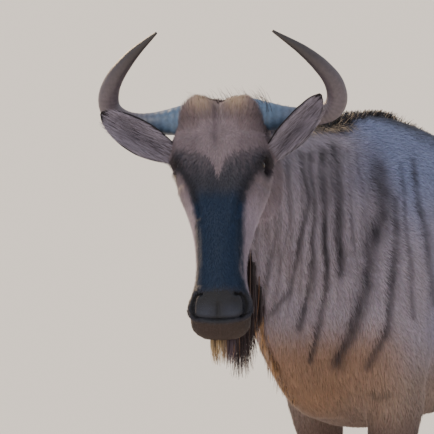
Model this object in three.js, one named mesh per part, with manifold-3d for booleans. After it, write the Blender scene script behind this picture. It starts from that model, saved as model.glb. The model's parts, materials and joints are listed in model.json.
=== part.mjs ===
// Standing blue wildebeest, life size, head turned a little to its right.
// Millimetres, +Z up, the animal looks along -Y and its left side is +X.
import * as THREE from "three";
import { mergeVertices } from "three/addons/utils/BufferGeometryUtils.js";
import Module from "manifold-3d";

const wasm = await Module();
wasm.setup();

// Dimensions
const GAP = 0.3; // clearance between neighbouring parts
const FORE_CUT = 608; // height where a foreleg leaves the trunk
const HIND_CUT = 700; // height where a hind leg leaves the trunk
const CORONET = 56; // top of the hooves
const HEAD_YAW = 29; // degrees, turn of the face away from straight ahead
const HEAD_NOD = 12; // degrees, muzzle carried forward of the brow
const HEAD_TILT = -1.2; // degrees, brow leaning to the animal's right
const HEAD_AT = [98, -1043.5, 1333]; // poll end of the face line
const EYE_RADIUS = 20;
const EYE = { s: 70, h: 121, f: -62 };
const HORN_ROOT = 84; // distance of the horn cut from the head's mid plane
const TAIL_CUT = 700; // height where the tassel starts
const MANE_LOCKS = 26;
const BROW_LOCKS = 5;
const BEARD_LOCKS = 21;
const CHIN_LOCKS = 4;
const TASSEL_LOCKS = 14;

// y, top, bottom, half width, height of the widest line
const TORSO = [
  [-655, 1010, 820, 60, 930],
  [-630, 1090, 768, 115, 950],
  [-580, 1190, 710, 142, 950],
  [-520, 1250, 662, 166, 945],
  [-440, 1285, 634, 190, 940],
  [-340, 1292, 632, 200, 930],
  [-230, 1268, 644, 215, 920],
  [-100, 1220, 656, 228, 910],
  [60, 1183, 664, 235, 900],
  [220, 1162, 700, 222, 910],
  [360, 1152, 760, 195, 940],
  [480, 1140, 830, 165, 970],
  [570, 1105, 880, 120, 990],
  [625, 1062, 935, 66, 1000],
];

// z, y, x, reach forward, reach back, half width
const FORELEG = [
  [56.3, -486, 130, 34, 34, 38],
  [95, -472, 130, 26, 28, 29],
  [130, -460, 130, 27, 32, 30],
  [160, -456, 130, 26, 32, 29],
  [210, -458, 130, 22, 26, 22],
  [300, -460, 130, 22, 26, 22],
  [370, -464, 130, 28, 30, 28],
  [415, -468, 131, 38, 34, 36],
  [450, -466, 132, 38, 36, 36],
  [500, -462, 134, 36, 38, 34],
  [580, -458, 138, 46, 54, 44],
  [660, -455, 140, 58, 74, 56],
  [730, -460, 141, 76, 98, 63],
  [800, -475, 142, 98, 122, 67],
  [900, -490, 143, 116, 140, 70],
  [1000, -470, 138, 115, 130, 68],
  [1100, -430, 112, 90, 100, 48],
  [1180, -400, 85, 50, 60, 24],
];

const HINDLEG = [
  [56.3, 476, 127, 34, 34, 38],
  [95, 490, 127, 27, 30, 30],
  [130, 502, 127, 28, 34, 31],
  [160, 508, 127, 28, 34, 30],
  [210, 514, 127, 24, 27, 23],
  [300, 522, 127, 24, 26, 23],
  [400, 532, 127, 28, 28, 27],
  [460, 536, 128, 38, 36, 34],
  [510, 530, 129, 42, 48, 34],
  [560, 505, 131, 46, 48, 36],
  [620, 465, 134, 62, 62, 44],
  [690, 425, 138, 85, 85, 55],
  [760, 400, 138, 110, 125, 70],
  [840, 410, 132, 145, 150, 84],
  [930, 430, 120, 160, 160, 88],
  [1020, 440, 100, 145, 145, 62],
  [1090, 440, 78, 100, 110, 36],
];

// how far each foot stands behind (+) or ahead of (-) its hip or shoulder
const SWING = [1050, 500]; // a leg leans from the first height down over the second one
const swung = (z) => THREE.MathUtils.clamp((SWING[0] - z) / SWING[1], 0, 1);
const STRIDE = { front_left: -20, front_right: 140, hind_left: 60, hind_right: -50 };

// centre x, y, z, half width, reach up, reach down
const NECK = [
  [0, -430, 1010, 165, 255, 270],
  [2, -560, 1045, 150, 235, 275],
  [10, -680, 1090, 125, 195, 275],
  [25, -790, 1140, 105, 145, 235],
  [35, -870, 1180, 95, 105, 200],
  [62, -960, 1215, 70, 70, 105],
];

// lower edge from throat to brisket: x, y, z, half width, half depth
const THROAT = [
  [38, -900, 1050, 34, 60],
  [32, -838, 975, 44, 85],
  [24, -780, 905, 54, 105],
  [12, -738, 830, 62, 115],
  [4, -689, 770, 68, 115],
  [0, -638, 716, 78, 105],
  [0, -590, 684, 88, 95],
  [0, -530, 654, 100, 85],
];

// down the face h, front line f, throat line f, half width, f of the widest line
const HEAD = [
  [-14, -66, -118, 48, -92],
  [0, -36, -152, 76, -95],
  [25, -12, -182, 90, -97],
  [60, 0, -205, 97, -100],
  [100, 2, -222, 100, -98],
  [135, 2, -230, 98, -95],
  [175, 4, -228, 89, -95],
  [215, 8, -208, 72, -105],
  [255, 10, -178, 60, -92],
  [295, 11, -152, 53, -75],
  [335, 9, -134, 50.5, -65],
  [370, 5, -122, 54, -60],
  [400, 0, -115, 62, -58],
  [430, -5, -110, 72, -57],
  [455, -14, -104, 70, -58],
  [472, -30, -92, 54, -60],
  [480, -48, -75, 30, -62],
];

// sideways s, down h, forward f, radius
const HORN = [
  [56, 22, -80, 36],
  [88, 24, -82, 30],
  [141, 27, -90, 22.5],
  [190, 22, -96, 20.5],
  [224, 4, -92, 21.5],
  [236, -24, -78, 21],
  [224, -60, -52, 18],
  [181, -102, -22, 12],
  [118, -143, 4, 2.5],
];
const LEFT_RISE = 7; // the left horn leaves the brow a little higher
const RIGHT_BOW = 10; // and the right one curves a little less

// the two ears are carried differently: root, tip, opening, half width, bow of the middle
const EARS = {
  right: { root: [-84, 103, -94], tip: [-243, 13, -36], open: [-0.1, 0.35, 1], half: 36, bow: 14 },
  left: { root: [84, 108, -98], tip: [206, -16, -26], open: [0.5, 0.6, 0.75], half: 37, bow: 15 },
};

// y, x, z and thickness along the tail
const TAIL = [
  [598, 0, 1075, 30],
  [640, 0, 1040, 27],
  [664, 0, 960, 22],
  [672, 0, 860, 18],
  [674, 0, 760, 15],
  [674, 0, 690, 14],
];

// Helpers
const v3 = (x, y, z) => new THREE.Vector3(x, y, z);

// Reads every column of a table at a value of its first one, on a smooth curve.
function between(rows, at) {
  let i = 0;
  while (i < rows.length - 2 && at > rows[i + 1][0]) i++;
  const slope = (k, c) => {
    const a = rows[Math.max(k - 1, 0)];
    const b = rows[Math.min(k + 1, rows.length - 1)];
    return (b[c] - a[c]) / (b[0] - a[0]);
  };
  const [p, q] = [rows[i], rows[i + 1]];
  const d = q[0] - p[0];
  const t = THREE.MathUtils.clamp((at - p[0]) / d, 0, 1);
  return p.map((v, c) => {
    if (c === 0) return at;
    const [h1, h2] = [t * t * t - 2 * t * t + t, t * t * t - t * t];
    const mix = 3 * t * t - 2 * t * t * t;
    return v + (q[c] - v) * mix + d * (h1 * slope(i, c) + h2 * slope(i + 1, c));
  });
}

// n even steps from a to b
const steps = (a, b, n) => Array.from({ length: n + 1 }, (_, i) => a + ((b - a) * i) / n);

// A rounded outline with its own reach to each of four sides.
function outline(count, right, left, up, down, powUp = 2, powDown = powUp) {
  return steps(0, 2 * Math.PI, count)
    .slice(0, count)
    .map((a) => {
      const [c, s] = [Math.cos(a), Math.sin(a)];
      const pow = 2 / (s >= 0 ? powUp : powDown);
      const u = Math.sign(c) * Math.abs(c) ** pow * (c >= 0 ? right : left);
      const v = Math.sign(s) * Math.abs(s) ** pow * (s >= 0 ? up : down);
      return [u, v];
    });
}

// Wraps a closed skin over a row of outlines given as points in space.
function skin(rings) {
  const n = rings[0].length;
  const points = rings.flat();
  const index = [];
  for (let r = 0; r + 1 < rings.length; r++)
    for (let k = 0; k < n; k++) {
      const [a, b] = [r * n + k, r * n + ((k + 1) % n)];
      index.push(a, b, b + n, a, b + n, a + n);
    }
  for (const end of [0, rings.length - 1]) {
    const middle = rings[end].reduce((m, p) => m.add(p), v3(0, 0, 0)).divideScalar(n);
    points.push(middle);
    const tip = points.length - 1;
    for (let k = 0; k < n; k++) {
      const [a, b] = [end * n + k, end * n + ((k + 1) % n)];
      index.push(...(end === 0 ? [tip, b, a] : [tip, a, b]));
    }
  }
  return solid(points, index);
}

// Points and triangles to a solid, turned the right way out.
function solid(points, index) {
  let volume = 0;
  for (let i = 0; i < index.length; i += 3) {
    const [a, b, c] = [points[index[i]], points[index[i + 1]], points[index[i + 2]]];
    volume += a.dot(b.clone().cross(c));
  }
  const order = volume < 0 ? index.toReversed() : index;
  return new wasm.Manifold(
    new wasm.Mesh({
      numProp: 3,
      vertProperties: new Float32Array(points.flatMap((p) => p.toArray())),
      triVerts: new Uint32Array(order),
    }),
  );
}

// A three.js geometry, placed by a matrix, as a solid.
function fromGeometry(geometry, matrix = new THREE.Matrix4()) {
  let plain = geometry.clone().applyMatrix4(matrix);
  plain.deleteAttribute("normal");
  plain.deleteAttribute("uv");
  plain = mergeVertices(plain, 1e-4);
  const at = plain.attributes.position;
  const points = Array.from({ length: at.count }, (_, i) => v3().fromBufferAttribute(at, i));
  return solid(points, [...plain.index.array]);
}

// An egg-shaped lump: centre and three half sizes, kept in a frame.
function lump(frame, centre, size, detail = 3) {
  const m = frame.clone().multiply(
    new THREE.Matrix4().compose(v3(...centre), new THREE.Quaternion(), v3(...size)),
  );
  return fromGeometry(new THREE.IcosahedronGeometry(1, detail), m);
}

// The half of space beyond a plane, as a very large block.
function beyond(point, normal) {
  const turn = new THREE.Quaternion().setFromUnitVectors(v3(0, 0, 1), normal.clone().normalize());
  const m = new THREE.Matrix4().compose(point, turn, v3(1, 1, 1));
  m.multiply(new THREE.Matrix4().makeTranslation(0, 0, 1500));
  return fromGeometry(new THREE.BoxGeometry(3000, 3000, 3000), m);
}

// Parts a solid by a plane into [behind, beyond], leaving the gap between them.
function part(whole, point, normal) {
  const n = normal.clone().normalize();
  const near = point.clone().addScaledVector(n, -GAP / 2);
  const far = point.clone().addScaledVector(n, GAP / 2);
  return [whole.subtract(beyond(near, n)), whole.subtract(beyond(far, n.clone().negate()))];
}

const box = (x0, x1, y0, y1, z0, z1) =>
  fromGeometry(
    new THREE.BoxGeometry(x1 - x0, y1 - y0, z1 - z0),
    new THREE.Matrix4().makeTranslation((x0 + x1) / 2, (y0 + y1) / 2, (z0 + z1) / 2),
  );

// A round bar along points with a radius at each, its path smoothed.
function bar(path, count, sides, grow = 0) {
  const rows = path.map((p, i) => [i, ...p]);
  const at = steps(0, path.length - 1, count).map((t) => between(rows, t).slice(1));
  const spine = at.map((p) => v3(p[0], p[1], p[2]));
  let side = v3(0.31, 0.2, 0.93);
  const rings = spine.map((p, i) => {
    const along = spine[Math.min(i + 1, count)].clone().sub(spine[Math.max(i - 1, 0)]).normalize();
    side = side.clone().addScaledVector(along, -side.dot(along)).normalize();
    const other = along.clone().cross(side);
    const r = at[i][3] + grow;
    return outline(sides, r, r, r, r).map(([u, v]) =>
      p.clone().addScaledVector(side, u).addScaledVector(other, v),
    );
  });
  return skin(rings);
}

const joined = (list) => list.reduce((a, b) => a.add(b));

// Trunk and limbs
const torsoForm = skin(
  [-655, -648, ...steps(-635, 600, 26), 615, 625].map((y) => {
    const [, top, bottom, half, mid] = between(TORSO, y);
    const hump = THREE.MathUtils.smoothstep(-y, 60, 380) * 0.5;
    return outline(30, half, half, top - mid, mid - bottom, 2.2 - hump, 2.3).map(([u, v]) =>
      v3(u, y, mid + v),
    );
  }),
);

// One leg: side is +1 for the animal's left; the foot is carried by its stride.
function legForm(rows, side, stride) {
  const levels = [56.3, 76, 97, 118, 140, 165, 200, 300, 360, 395, 430, 465, 500, 540, 590,
    650, 720, 800, 880, 960, 1040, rows.at(-1)[0]];
  return skin(
    levels.map((z) => {
      const [, y, x, fore, aft, half] = between(rows, z);
      const carried = y + stride * swung(z);
      return outline(14, half, half, aft, fore).map(([u, v]) => v3(side * x + u, carried + v, z));
    }),
  );
}

const legs = {
  front_left: legForm(FORELEG, 1, STRIDE.front_left),
  front_right: legForm(FORELEG, -1, STRIDE.front_right),
  hind_left: legForm(HINDLEG, 1, STRIDE.hind_left),
  hind_right: legForm(HINDLEG, -1, STRIDE.hind_right),
};

// One claw of a cloven foot, flat where it faces its twin and flat underneath.
function claw(x, y, side) {
  const levels = [
    [0, 60, 36, 26],
    [10, 59, 37, 26],
    [30, 49, 37, 24],
    [CORONET, 31, 33, 18.5],
  ];
  return skin(
    levels.map(([z, fore, aft, wide]) => {
      const inner = x + side * 2;
      const middle = inner + side * wide * 0.62;
      return outline(12, wide, wide, aft, fore, 2.1, 1.7).map(([u, v]) => {
        const lean = v < 0 ? side * (v / fore) ** 2 * -wide * 0.25 : 0;
        const px = middle + u * 0.72 + lean;
        return v3(side > 0 ? Math.max(px, inner) : Math.min(px, inner), y + v, z);
      });
    }),
  );
}

const hooves = {};
for (const [name, rows] of Object.entries({ front: FORELEG, hind: HINDLEG }))
  for (const [hand, side] of Object.entries({ left: 1, right: -1 })) {
    const y = rows[0][1] + STRIDE[`${name}_${hand}`] * swung(CORONET);
    const x = side * rows[0][2];
    hooves[`hoof_${name}_${hand}_inner`] = claw(x, y, -side);
    hooves[`hoof_${name}_${hand}_outer`] = claw(x, y, side);
  }

// Neck and throat
const neckRows = NECK.map((p, i) => [i, ...p]);
const neckForm = skin(
  steps(0, NECK.length - 1, 14).map((t) => {
    const [, x, y, z, half, up, down] = between(neckRows, t);
    const tilt = THREE.MathUtils.lerp(-0.12, -0.42, t / (NECK.length - 1));
    const [lean, rise] = [Math.sin(tilt), Math.cos(tilt)];
    const round = THREE.MathUtils.lerp(1.7, 2, t / (NECK.length - 1));
    return outline(28, half, half, up, down, round, 2.1).map(([u, v]) =>
      v3(x + u, y + v * lean, z + v * rise),
    );
  }),
);

// The throat and brisket: round rings whose lower side follows the measured edge.
const throatRows = THROAT.map((p, i) => [i, ...p]);
const throatForm = skin(
  steps(0, THROAT.length - 1, 12).map((t) => {
    const [, x, y, z, half, deep] = between(throatRows, t);
    return outline(16, half, half, deep, deep).map(([u, v]) =>
      v3(x + u, y + (deep + v) * 0.766, z + (deep + v) * 0.642),
    );
  }),
);

// Head
// Inside the head's own frame x is sideways, -y is forward and -z runs down the face.
const headFrame = new THREE.Matrix4()
  .makeTranslation(...HEAD_AT)
  .multiply(new THREE.Matrix4().makeRotationZ(THREE.MathUtils.degToRad(HEAD_YAW)))
  .multiply(new THREE.Matrix4().makeRotationX(THREE.MathUtils.degToRad(-HEAD_NOD)))
  .multiply(new THREE.Matrix4().makeRotationY(THREE.MathUtils.degToRad(HEAD_TILT)));
const onHead = (s, h, f) => v3(s, -f, -h).applyMatrix4(headFrame);
const headDirection = (s, h, f) => onHead(s, h, f).sub(onHead(0, 0, 0)).normalize();

const headLevels = [-14, -8, 2, 14, 28, ...steps(44, 458, 23), 467, 475, 480];
const headPow = (h) => [
  THREE.MathUtils.lerp(2.5, 2.15, THREE.MathUtils.smoothstep(h, 180, 300)),
  THREE.MathUtils.lerp(2.0, 2.3, THREE.MathUtils.smoothstep(h, 180, 400)),
];

function headForm(inset = 0) {
  return skin(
    headLevels.map((h) => {
      const [, front, back, half, mid] = between(HEAD, h);
      const [front2, back2] = headPow(h);
      const shrink = (v) => Math.max(v - inset, 2);
      return outline(28, shrink(half), shrink(half), shrink(front - mid), shrink(mid - back),
        front2, back2).map(([u, v]) => onHead(u, h, mid + v));
    }),
  );
}

// Front of the face at a place given sideways and down.
function faceFront(s, h) {
  const [, front, , half, mid] = between(HEAD, h);
  const pow = headPow(h)[0];
  return mid + (front - mid) * Math.max(0, 1 - Math.abs(s / half) ** pow) ** (1 / pow);
}

const hornPath = (side) =>
  HORN.map(([s, h, f, r]) => {
    const lean = Math.min(0, h / 20);
    const rise = side > 0 ? LEFT_RISE * THREE.MathUtils.clamp(h / 20, 0, 1) : 0;
    const bow = side < 0 ? RIGHT_BOW * Math.sin((Math.PI * Math.min(h, 0)) / HORN.at(-1)[1]) : 0;
    return [...onHead(side * (s - bow) + lean, h - rise, f).toArray(), r];
  });
const hornForm = (side, grow = 0) => bar(hornPath(side), 20, 12, grow);

// A long cupped ear with a thin rim, solid at its root.
function earForm({ root, tip, open, half, bow }) {
  const [a, b] = [onHead(...root), onHead(...tip)];
  const along = b.clone().sub(a).normalize();
  const front = headDirection(...open);
  front.addScaledVector(along, -front.dot(along)).normalize();
  const wide = along.clone().cross(front);
  // along the ear, half width, depth of the cup, thickness
  const rows = [
    [0, 0.5, 0.05, 15],
    [0.12, 0.58, 0.12, 14],
    [0.25, 0.8, 0.42, 9],
    [0.45, 1, 0.5, 6.5],
    [0.65, 0.96, 0.42, 5.5],
    [0.82, 0.74, 0.3, 5],
    [0.94, 0.42, 0.14, 4.5],
    [1, 0.1, 0.02, 3],
  ];
  const rings = steps(0, 1, 12).map((t) => {
    const [, width, cup, thick] = between(rows, t);
    const w = width * half;
    const middle = a.clone().lerp(b, t).addScaledVector(front, bow * Math.sin(Math.PI * t));
    const across = steps(-1, 1, 6);
    const back = across.map((q) => [q * w, -cup * half * (1 - q * q) - thick * Math.sqrt(1.05 - q * q)]);
    const inner = across.map((q) => [q * w * 0.93, -cup * half * (1 - q * q) * 0.98 + 0.8]).reverse();
    return [...back, ...inner].map(([u, v]) =>
      middle.clone().addScaledVector(wide, u).addScaledVector(front, v),
    );
  });
  return skin(rings);
}

const earCut = ({ root, tip }) => {
  const [a, b] = [onHead(...root), onHead(...tip)];
  const along = b.clone().sub(a).normalize();
  return [a.clone().addScaledVector(along, 34), along];
};

// Locks of hair
// The same run of chances on every build.
let chance = 20240;
const random = (a, b) => {
  chance = (Math.imul(chance, 1664525) + 1013904223) >>> 0;
  return a + ((b - a) * chance) / 4294967296;
};

// One flat tapered lock: it leaves its root along "start", ends along "finish" and is
// "wide" across. The root is sunk so that it stays joined.
function lock(root, start, finish, wide, length, width, thick, sink = 24) {
  const base = root.clone().addScaledVector(start, -sink);
  const knee = root.clone().addScaledVector(start, length * 0.5);
  const tip = knee.clone().addScaledVector(finish, length * 0.5);
  const path = new THREE.CatmullRomCurve3([base, root, knee, tip]);
  const rings = [0, 0.3, 0.56, 0.82].map((t) => {
    const along = path.getTangent(t).normalize();
    const across = wide.clone().addScaledVector(along, -wide.dot(along)).normalize();
    const out = along.clone().cross(across);
    const shrink = 1 - 0.5 * t ** 1.8;
    const p = path.getPoint(t);
    return [[1, 0], [0, 1], [-1, 0], [0, -1]].map(([u, v]) =>
      p.clone().addScaledVector(across, (u * width * shrink) / 2)
        .addScaledVector(out, (v * thick * shrink) / 2),
    );
  });
  const points = rings.flat();
  const index = [0, 2, 1, 0, 3, 2];
  for (let k = 0; k < 3; k++)
    for (let q = 0; q < 4; q++) {
      const [a, b] = [k * 4 + q, k * 4 + ((q + 1) % 4)];
      index.push(a, b, b + 4, a, b + 4, a + 4);
    }
  points.push(tip);
  for (let q = 0; q < 4; q++) index.push(12 + q, 12 + ((q + 1) % 4), 16);
  return solid(points, index);
}
const toward = (x, y, z) => v3(x, y, z).normalize();

// x, y, z of the crest roots, height of the mane there
const MANE = [
  [76, -965, 1312, 36],
  [50, -880, 1287, 46],
  [28, -790, 1278, 48],
  [12, -690, 1273, 44],
  [3, -580, 1270, 38],
  [0, -460, 1275, 28],
  [0, -340, 1284, 18],
  [0, -250, 1266, 14],
];
const maneRows = MANE.map((p, i) => [i, ...p]);
const maneCore = skin(
  steps(0, MANE.length - 1, 12).map((t) => {
    const [, x, y, z, tall] = between(maneRows, t);
    const s = 15 * Math.min(1, 0.35 + Math.min(t, MANE.length - 1 - t));
    return outline(8, s, s, tall * 0.45, 30).map(([u, v]) =>
      v3(x + u, y + Math.max(v, 0) * 0.3, z + v),
    );
  }),
);
const maneLocks = steps(0.05, MANE.length - 1.05, MANE_LOCKS - 1).map((t, i) => {
  const [, x, y, z, tall] = between(maneRows, t + random(-0.06, 0.06));
  const lean = (i % 2 ? 1 : -1) * random(0.12, 0.42);
  return lock(
    v3(x + lean * 12, y, z), toward(lean, 0.25, 1), toward(lean * 2.2, random(0.5, 1), 0.9),
    v3(0, 1, 0.1), tall * random(0.85, 1.12), random(40, 54), random(11, 15),
  );
});

// a few hairs that stand up and forward over the brow, between the horns
const browLocks = steps(-54, 54, BROW_LOCKS - 1).map((s) =>
  lock(
    onHead(s, 8, -58), headDirection(s / 90, -1, 0.1), headDirection(s / 120 - 0.4, -1, 0.5),
    headDirection(1, 0, 0), random(40, 56), random(20, 26), random(8, 11), 20,
  ),
);

// x, y, z of the lower throat line, with the fall of the beard below it
const BEARD = [
  [0, -600, 692, 18],
  [2, -655, 736, 24],
  [8, -715, 800, 32],
  [18, -758, 868, 52],
  [28, -800, 930, 130],
  [31, -825, 960, 195],
  [35, -860, 1003, 245],
  [38, -890, 1038, 250],
  [40, -915, 1066, 150],
];
const beardRows = BEARD.map((p, i) => [i, ...p]);
const beardCore = skin(
  steps(0, BEARD.length - 1, 8).map((t) => {
    const [, x, y, z, fall] = between(beardRows, t);
    return outline(8, 16, 16, 110, fall * 0.45, 2, 1.7).map(([u, v]) => v3(x + u, y, z + v));
  }),
);
const beardLocks = steps(0.1, BEARD.length - 1.1, BEARD_LOCKS - 1).map((t, i) => {
  const [, x, y, z, fall] = between(beardRows, t + random(-0.08, 0.08));
  const lean = (i % 2 ? 1 : -1) * random(0.03, 0.16);
  return lock(
    v3(x + lean * 60, y, z - 8), toward(lean, -0.1, -1), toward(-lean, random(-0.1, 0.3), -1),
    v3(0, 1, 0), fall * random(0.82, 1.08), random(36, 50), random(12, 16), 40,
  );
});

// short hair under the chin
const chinLocks = steps(-1, 1, CHIN_LOCKS - 1).map((q) =>
  lock(
    onHead(q * 22 - 4, 462, -66 - 10 * (1 - q * q)), headDirection(q * 0.2, 1, -0.1),
    headDirection(-q * 0.2, 1, -0.35), headDirection(1, 0, 0), random(52, 76), random(22, 28), 11, 16,
  ),
);

// the tassel hangs from the end of the dock in rows
const tasselCore = bar([[0, 674, 699.7, 14], [0, 674, 660, 21], [0, 674, 590, 22], [0, 674, 500, 8]], 6, 10);
const tasselLocks = steps(0, TASSEL_LOCKS - 1, TASSEL_LOCKS - 1).map((i) => {
  const turn = i * 2.4;
  const [c, q] = [Math.cos(turn), Math.sin(turn)];
  const top = 672 - (i / TASSEL_LOCKS) * 120;
  return lock(
    v3(c * 10, 674 + q * 10, top), toward(c * 0.28, q * 0.28, -1), toward(-c * 0.12, -q * 0.12, -1),
    v3(-q, c, 0), (top - 335) * random(0.8, 1), random(30, 40), random(11, 15), 8,
  );
});

// The joined animal and its parts
const flesh = joined([
  torsoForm, ...Object.values(legs), neckForm, throatForm, maneCore, ...maneLocks, beardCore, ...beardLocks,
]);
const skull = joined([
  headForm(),
  ...[1, -1].map((side) => lump(headFrame, [side * 38, 34, -22], [44, 38, 38], 2)),
  ...[1, -1].map((side) => lump(headFrame, [side * (EYE.s + 8), -EYE.f, -EYE.h], [20, 34, 25], 2)),
  ...[1, -1].map((side) => hornForm(side)),
  ...Object.values(EARS).map(earForm),
  ...browLocks,
  ...chinLocks,
]);
const whole = flesh.add(skull);

const neckCut = [v3(0, -585, 1040), v3(0, -0.965, 0.263)];
const headCut = [
  onHead(0, 0, -135),
  headDirection(0, 100 / 260, 240 / 260),
];
let [rest, head] = part(whole, ...headCut);
let [body, neck] = part(rest, ...neckCut);

const legBoxes = {
  front_left: [0, 400, -800, -240, -50, FORE_CUT],
  front_right: [-400, 0, -800, -240, -50, FORE_CUT],
  hind_left: [0, 400, 300, 800, -50, HIND_CUT],
  hind_right: [-400, 0, 300, 800, -50, HIND_CUT],
};
const legParts = {};
for (const [name, [x0, x1, y0, y1, z0, z1]] of Object.entries(legBoxes)) {
  legParts[name] = body.intersect(box(x0, x1, y0, y1, z0, z1 - GAP / 2));
  body = body.subtract(box(x0, x1, y0, y1, z0, z1 + GAP / 2));
}

// horns and ears leave the head, and the sockets, nostrils and mouth are cut
const horns = {};
for (const [hand, side] of Object.entries({ left: 1, right: -1 })) {
  const cut = [onHead(side * HORN_ROOT, 0, 0), headDirection(side, 0, 0)];
  horns[hand] = part(hornForm(side), ...cut)[1];
  const near = cut[0].clone().addScaledVector(cut[1], -GAP / 2);
  head = head.subtract(hornForm(side, GAP).intersect(beyond(near, cut[1])));
}
const ears = {};
for (const [hand, shape] of Object.entries(EARS)) {
  const form = earForm(shape);
  const [at, along] = earCut(shape);
  ears[hand] = part(form, at, along)[1];
  const near = at.clone().addScaledVector(along, -GAP / 2);
  const clear = bar(
    [0, 60, 120, 200].map((d) => [...at.clone().addScaledVector(along, d).toArray(), 60]), 6, 16);
  head = head.subtract(clear.intersect(beyond(near, along)));
}

const eyes = {};
for (const [hand, side] of Object.entries({ left: 1, right: -1 })) {
  const at = [side * EYE.s, -EYE.f, -EYE.h];
  const r = EYE_RADIUS;
  eyes[hand] = lump(headFrame, at, [r, r, r], 2);
  head = head
    .subtract(lump(headFrame, at, [r + 2 * GAP, r + 2 * GAP, r + 2 * GAP], 2))
    .subtract(lump(headFrame, [side * (EYE.s + 26), -EYE.f, -EYE.h], [19, 21, 12], 2));
}

for (const side of [1, -1]) {
  const pit = [
    [30, 390, 6],
    [46, 394, 7],
    [55, 412, 8],
    [53, 432, 7],
    [44, 441, 5],
  ].map(([s, h, r]) => [...onHead(side * s, h, faceFront(s, h) - 5).toArray(), r]);
  head = head.subtract(bar(pit, 7, 7));
}

const mouthSlope = 0.83;
const mouth = skin(
  [-100, 30].map((f) =>
    [[-90, -1.5], [90, -1.5], [90, 1.5], [-90, 1.5]].map(([s, d]) =>
      onHead(s, 450 + mouthSlope * (f + 5) + d, f),
    ),
  ),
);
head = head.subtract(mouth.subtract(headForm(7)));

// Tail
const tailPath = TAIL.map(([y, x, z, r]) => [x, y, z, r]);
const tailForm = bar(tailPath, 14, 12);
const tassel = joined([tasselCore, ...tasselLocks]);
const [, dock] = part(tailForm, v3(0, 612, 0), v3(0, 1, 0));
body = body.subtract(bar(tailPath, 14, 12, GAP).intersect(beyond(v3(0, 612 - GAP / 2, 0), v3(0, 1, 0))));
body = body.add(tailForm.subtract(beyond(v3(0, 612 - GAP / 2, 0), v3(0, 1, 0))));
const tailDock = part(dock, v3(0, 0, TAIL_CUT), v3(0, 0, 1))[1];

// Named parts
const finish = {
  coat: { color: 0x6e6468, roughness: 0.9 },
  face: { color: 0x3c3a42, roughness: 0.85 },
  hair: { color: 0x2e2a2e, roughness: 0.95 },
  horn: { color: 0x5a5654, roughness: 0.5 },
  hoof: { color: 0x2d2a29, roughness: 0.55 },
  eye: { color: 0x14100e, roughness: 0.12 },
};

const herdAnimal = new THREE.Group();
herdAnimal.name = "wildebeest";

// Keeps the largest closed surface of a solid and adds it as a named mesh.
function add(name, form, look) {
  const largest = form.decompose().sort((a, b) => b.volume() - a.volume())[0];
  const mesh = largest.getMesh();
  const geometry = new THREE.BufferGeometry();
  geometry.setAttribute("position", new THREE.BufferAttribute(mesh.vertProperties, 3));
  geometry.setIndex(new THREE.BufferAttribute(mesh.triVerts, 1));
  geometry.computeVertexNormals();
  const part = new THREE.Mesh(
    geometry,
    new THREE.MeshStandardMaterial({ ...finish[look], metalness: 0 }),
  );
  part.name = name;
  herdAnimal.add(part);
}

add("torso", body, "coat");
add("neck", neck, "coat");
add("head", head, "face");
for (const [name, form] of Object.entries(legParts)) add(`leg_${name}`, form, "coat");
for (const [name, form] of Object.entries(hooves)) add(name, form, "hoof");
for (const hand of ["left", "right"]) {
  add(`horn_${hand}`, horns[hand], "horn");
  add(`ear_${hand}`, ears[hand], "coat");
  add(`eye_${hand}`, eyes[hand], "eye");
}
add("tail_dock", tailDock, "coat");
add("tail_tassel", tassel, "hair");

// The middle of the standing box is put over the origin.
const bounds = new THREE.Box3().setFromObject(herdAnimal);
const centre = bounds.getCenter(v3(0, 0, 0));
herdAnimal.position.set(-centre.x, -centre.y, -bounds.min.z);
herdAnimal.updateMatrixWorld(true);

export default herdAnimal;
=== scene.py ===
# %% [markdown]
# # A standing blue wildebeest
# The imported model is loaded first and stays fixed. Its flesh is a set of plain parts with
# thin cuts between them, so this lesson grows one seamless skin in the same place, then
# lays fur, mane, beard and tail hair on it, and gives horns, hooves and eyes their own finish.

# %% Load the frame
import json
import math

import bmesh
import bpy
import numpy as np
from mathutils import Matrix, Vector
from mathutils.bvhtree import BVHTree

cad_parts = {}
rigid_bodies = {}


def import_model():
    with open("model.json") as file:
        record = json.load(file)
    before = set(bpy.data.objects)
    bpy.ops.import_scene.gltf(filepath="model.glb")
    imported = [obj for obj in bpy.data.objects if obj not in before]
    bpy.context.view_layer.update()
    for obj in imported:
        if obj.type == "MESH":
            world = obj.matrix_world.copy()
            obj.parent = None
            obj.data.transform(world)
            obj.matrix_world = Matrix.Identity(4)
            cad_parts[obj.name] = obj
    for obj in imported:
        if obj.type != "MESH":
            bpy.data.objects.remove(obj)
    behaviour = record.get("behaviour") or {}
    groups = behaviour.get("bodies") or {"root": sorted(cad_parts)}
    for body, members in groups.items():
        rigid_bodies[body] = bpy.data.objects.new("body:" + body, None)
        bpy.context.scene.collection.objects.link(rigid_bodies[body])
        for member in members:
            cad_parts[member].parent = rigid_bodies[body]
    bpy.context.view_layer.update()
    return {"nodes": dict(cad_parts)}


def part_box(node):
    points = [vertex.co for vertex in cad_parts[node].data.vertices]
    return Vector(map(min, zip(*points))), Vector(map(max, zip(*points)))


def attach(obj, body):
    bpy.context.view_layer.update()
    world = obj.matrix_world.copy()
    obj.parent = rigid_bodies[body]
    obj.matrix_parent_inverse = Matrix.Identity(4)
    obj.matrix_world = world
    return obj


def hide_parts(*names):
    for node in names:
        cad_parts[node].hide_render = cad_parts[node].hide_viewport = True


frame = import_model()
rng = np.random.default_rng(7)
print("nodes:", len(frame["nodes"]))

# %% [markdown]
# ## Measures
# Every form is a row of measured outlines, in millimetres, read on a smooth curve. The same
# numbers shape the solids, so the skin and the solids agree. Sculpting would be freer, but a
# table can be set against a real animal. The trunk runs from the chest, where y is negative,
# to the rump, and the heights of a leg run up from the floor.

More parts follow.
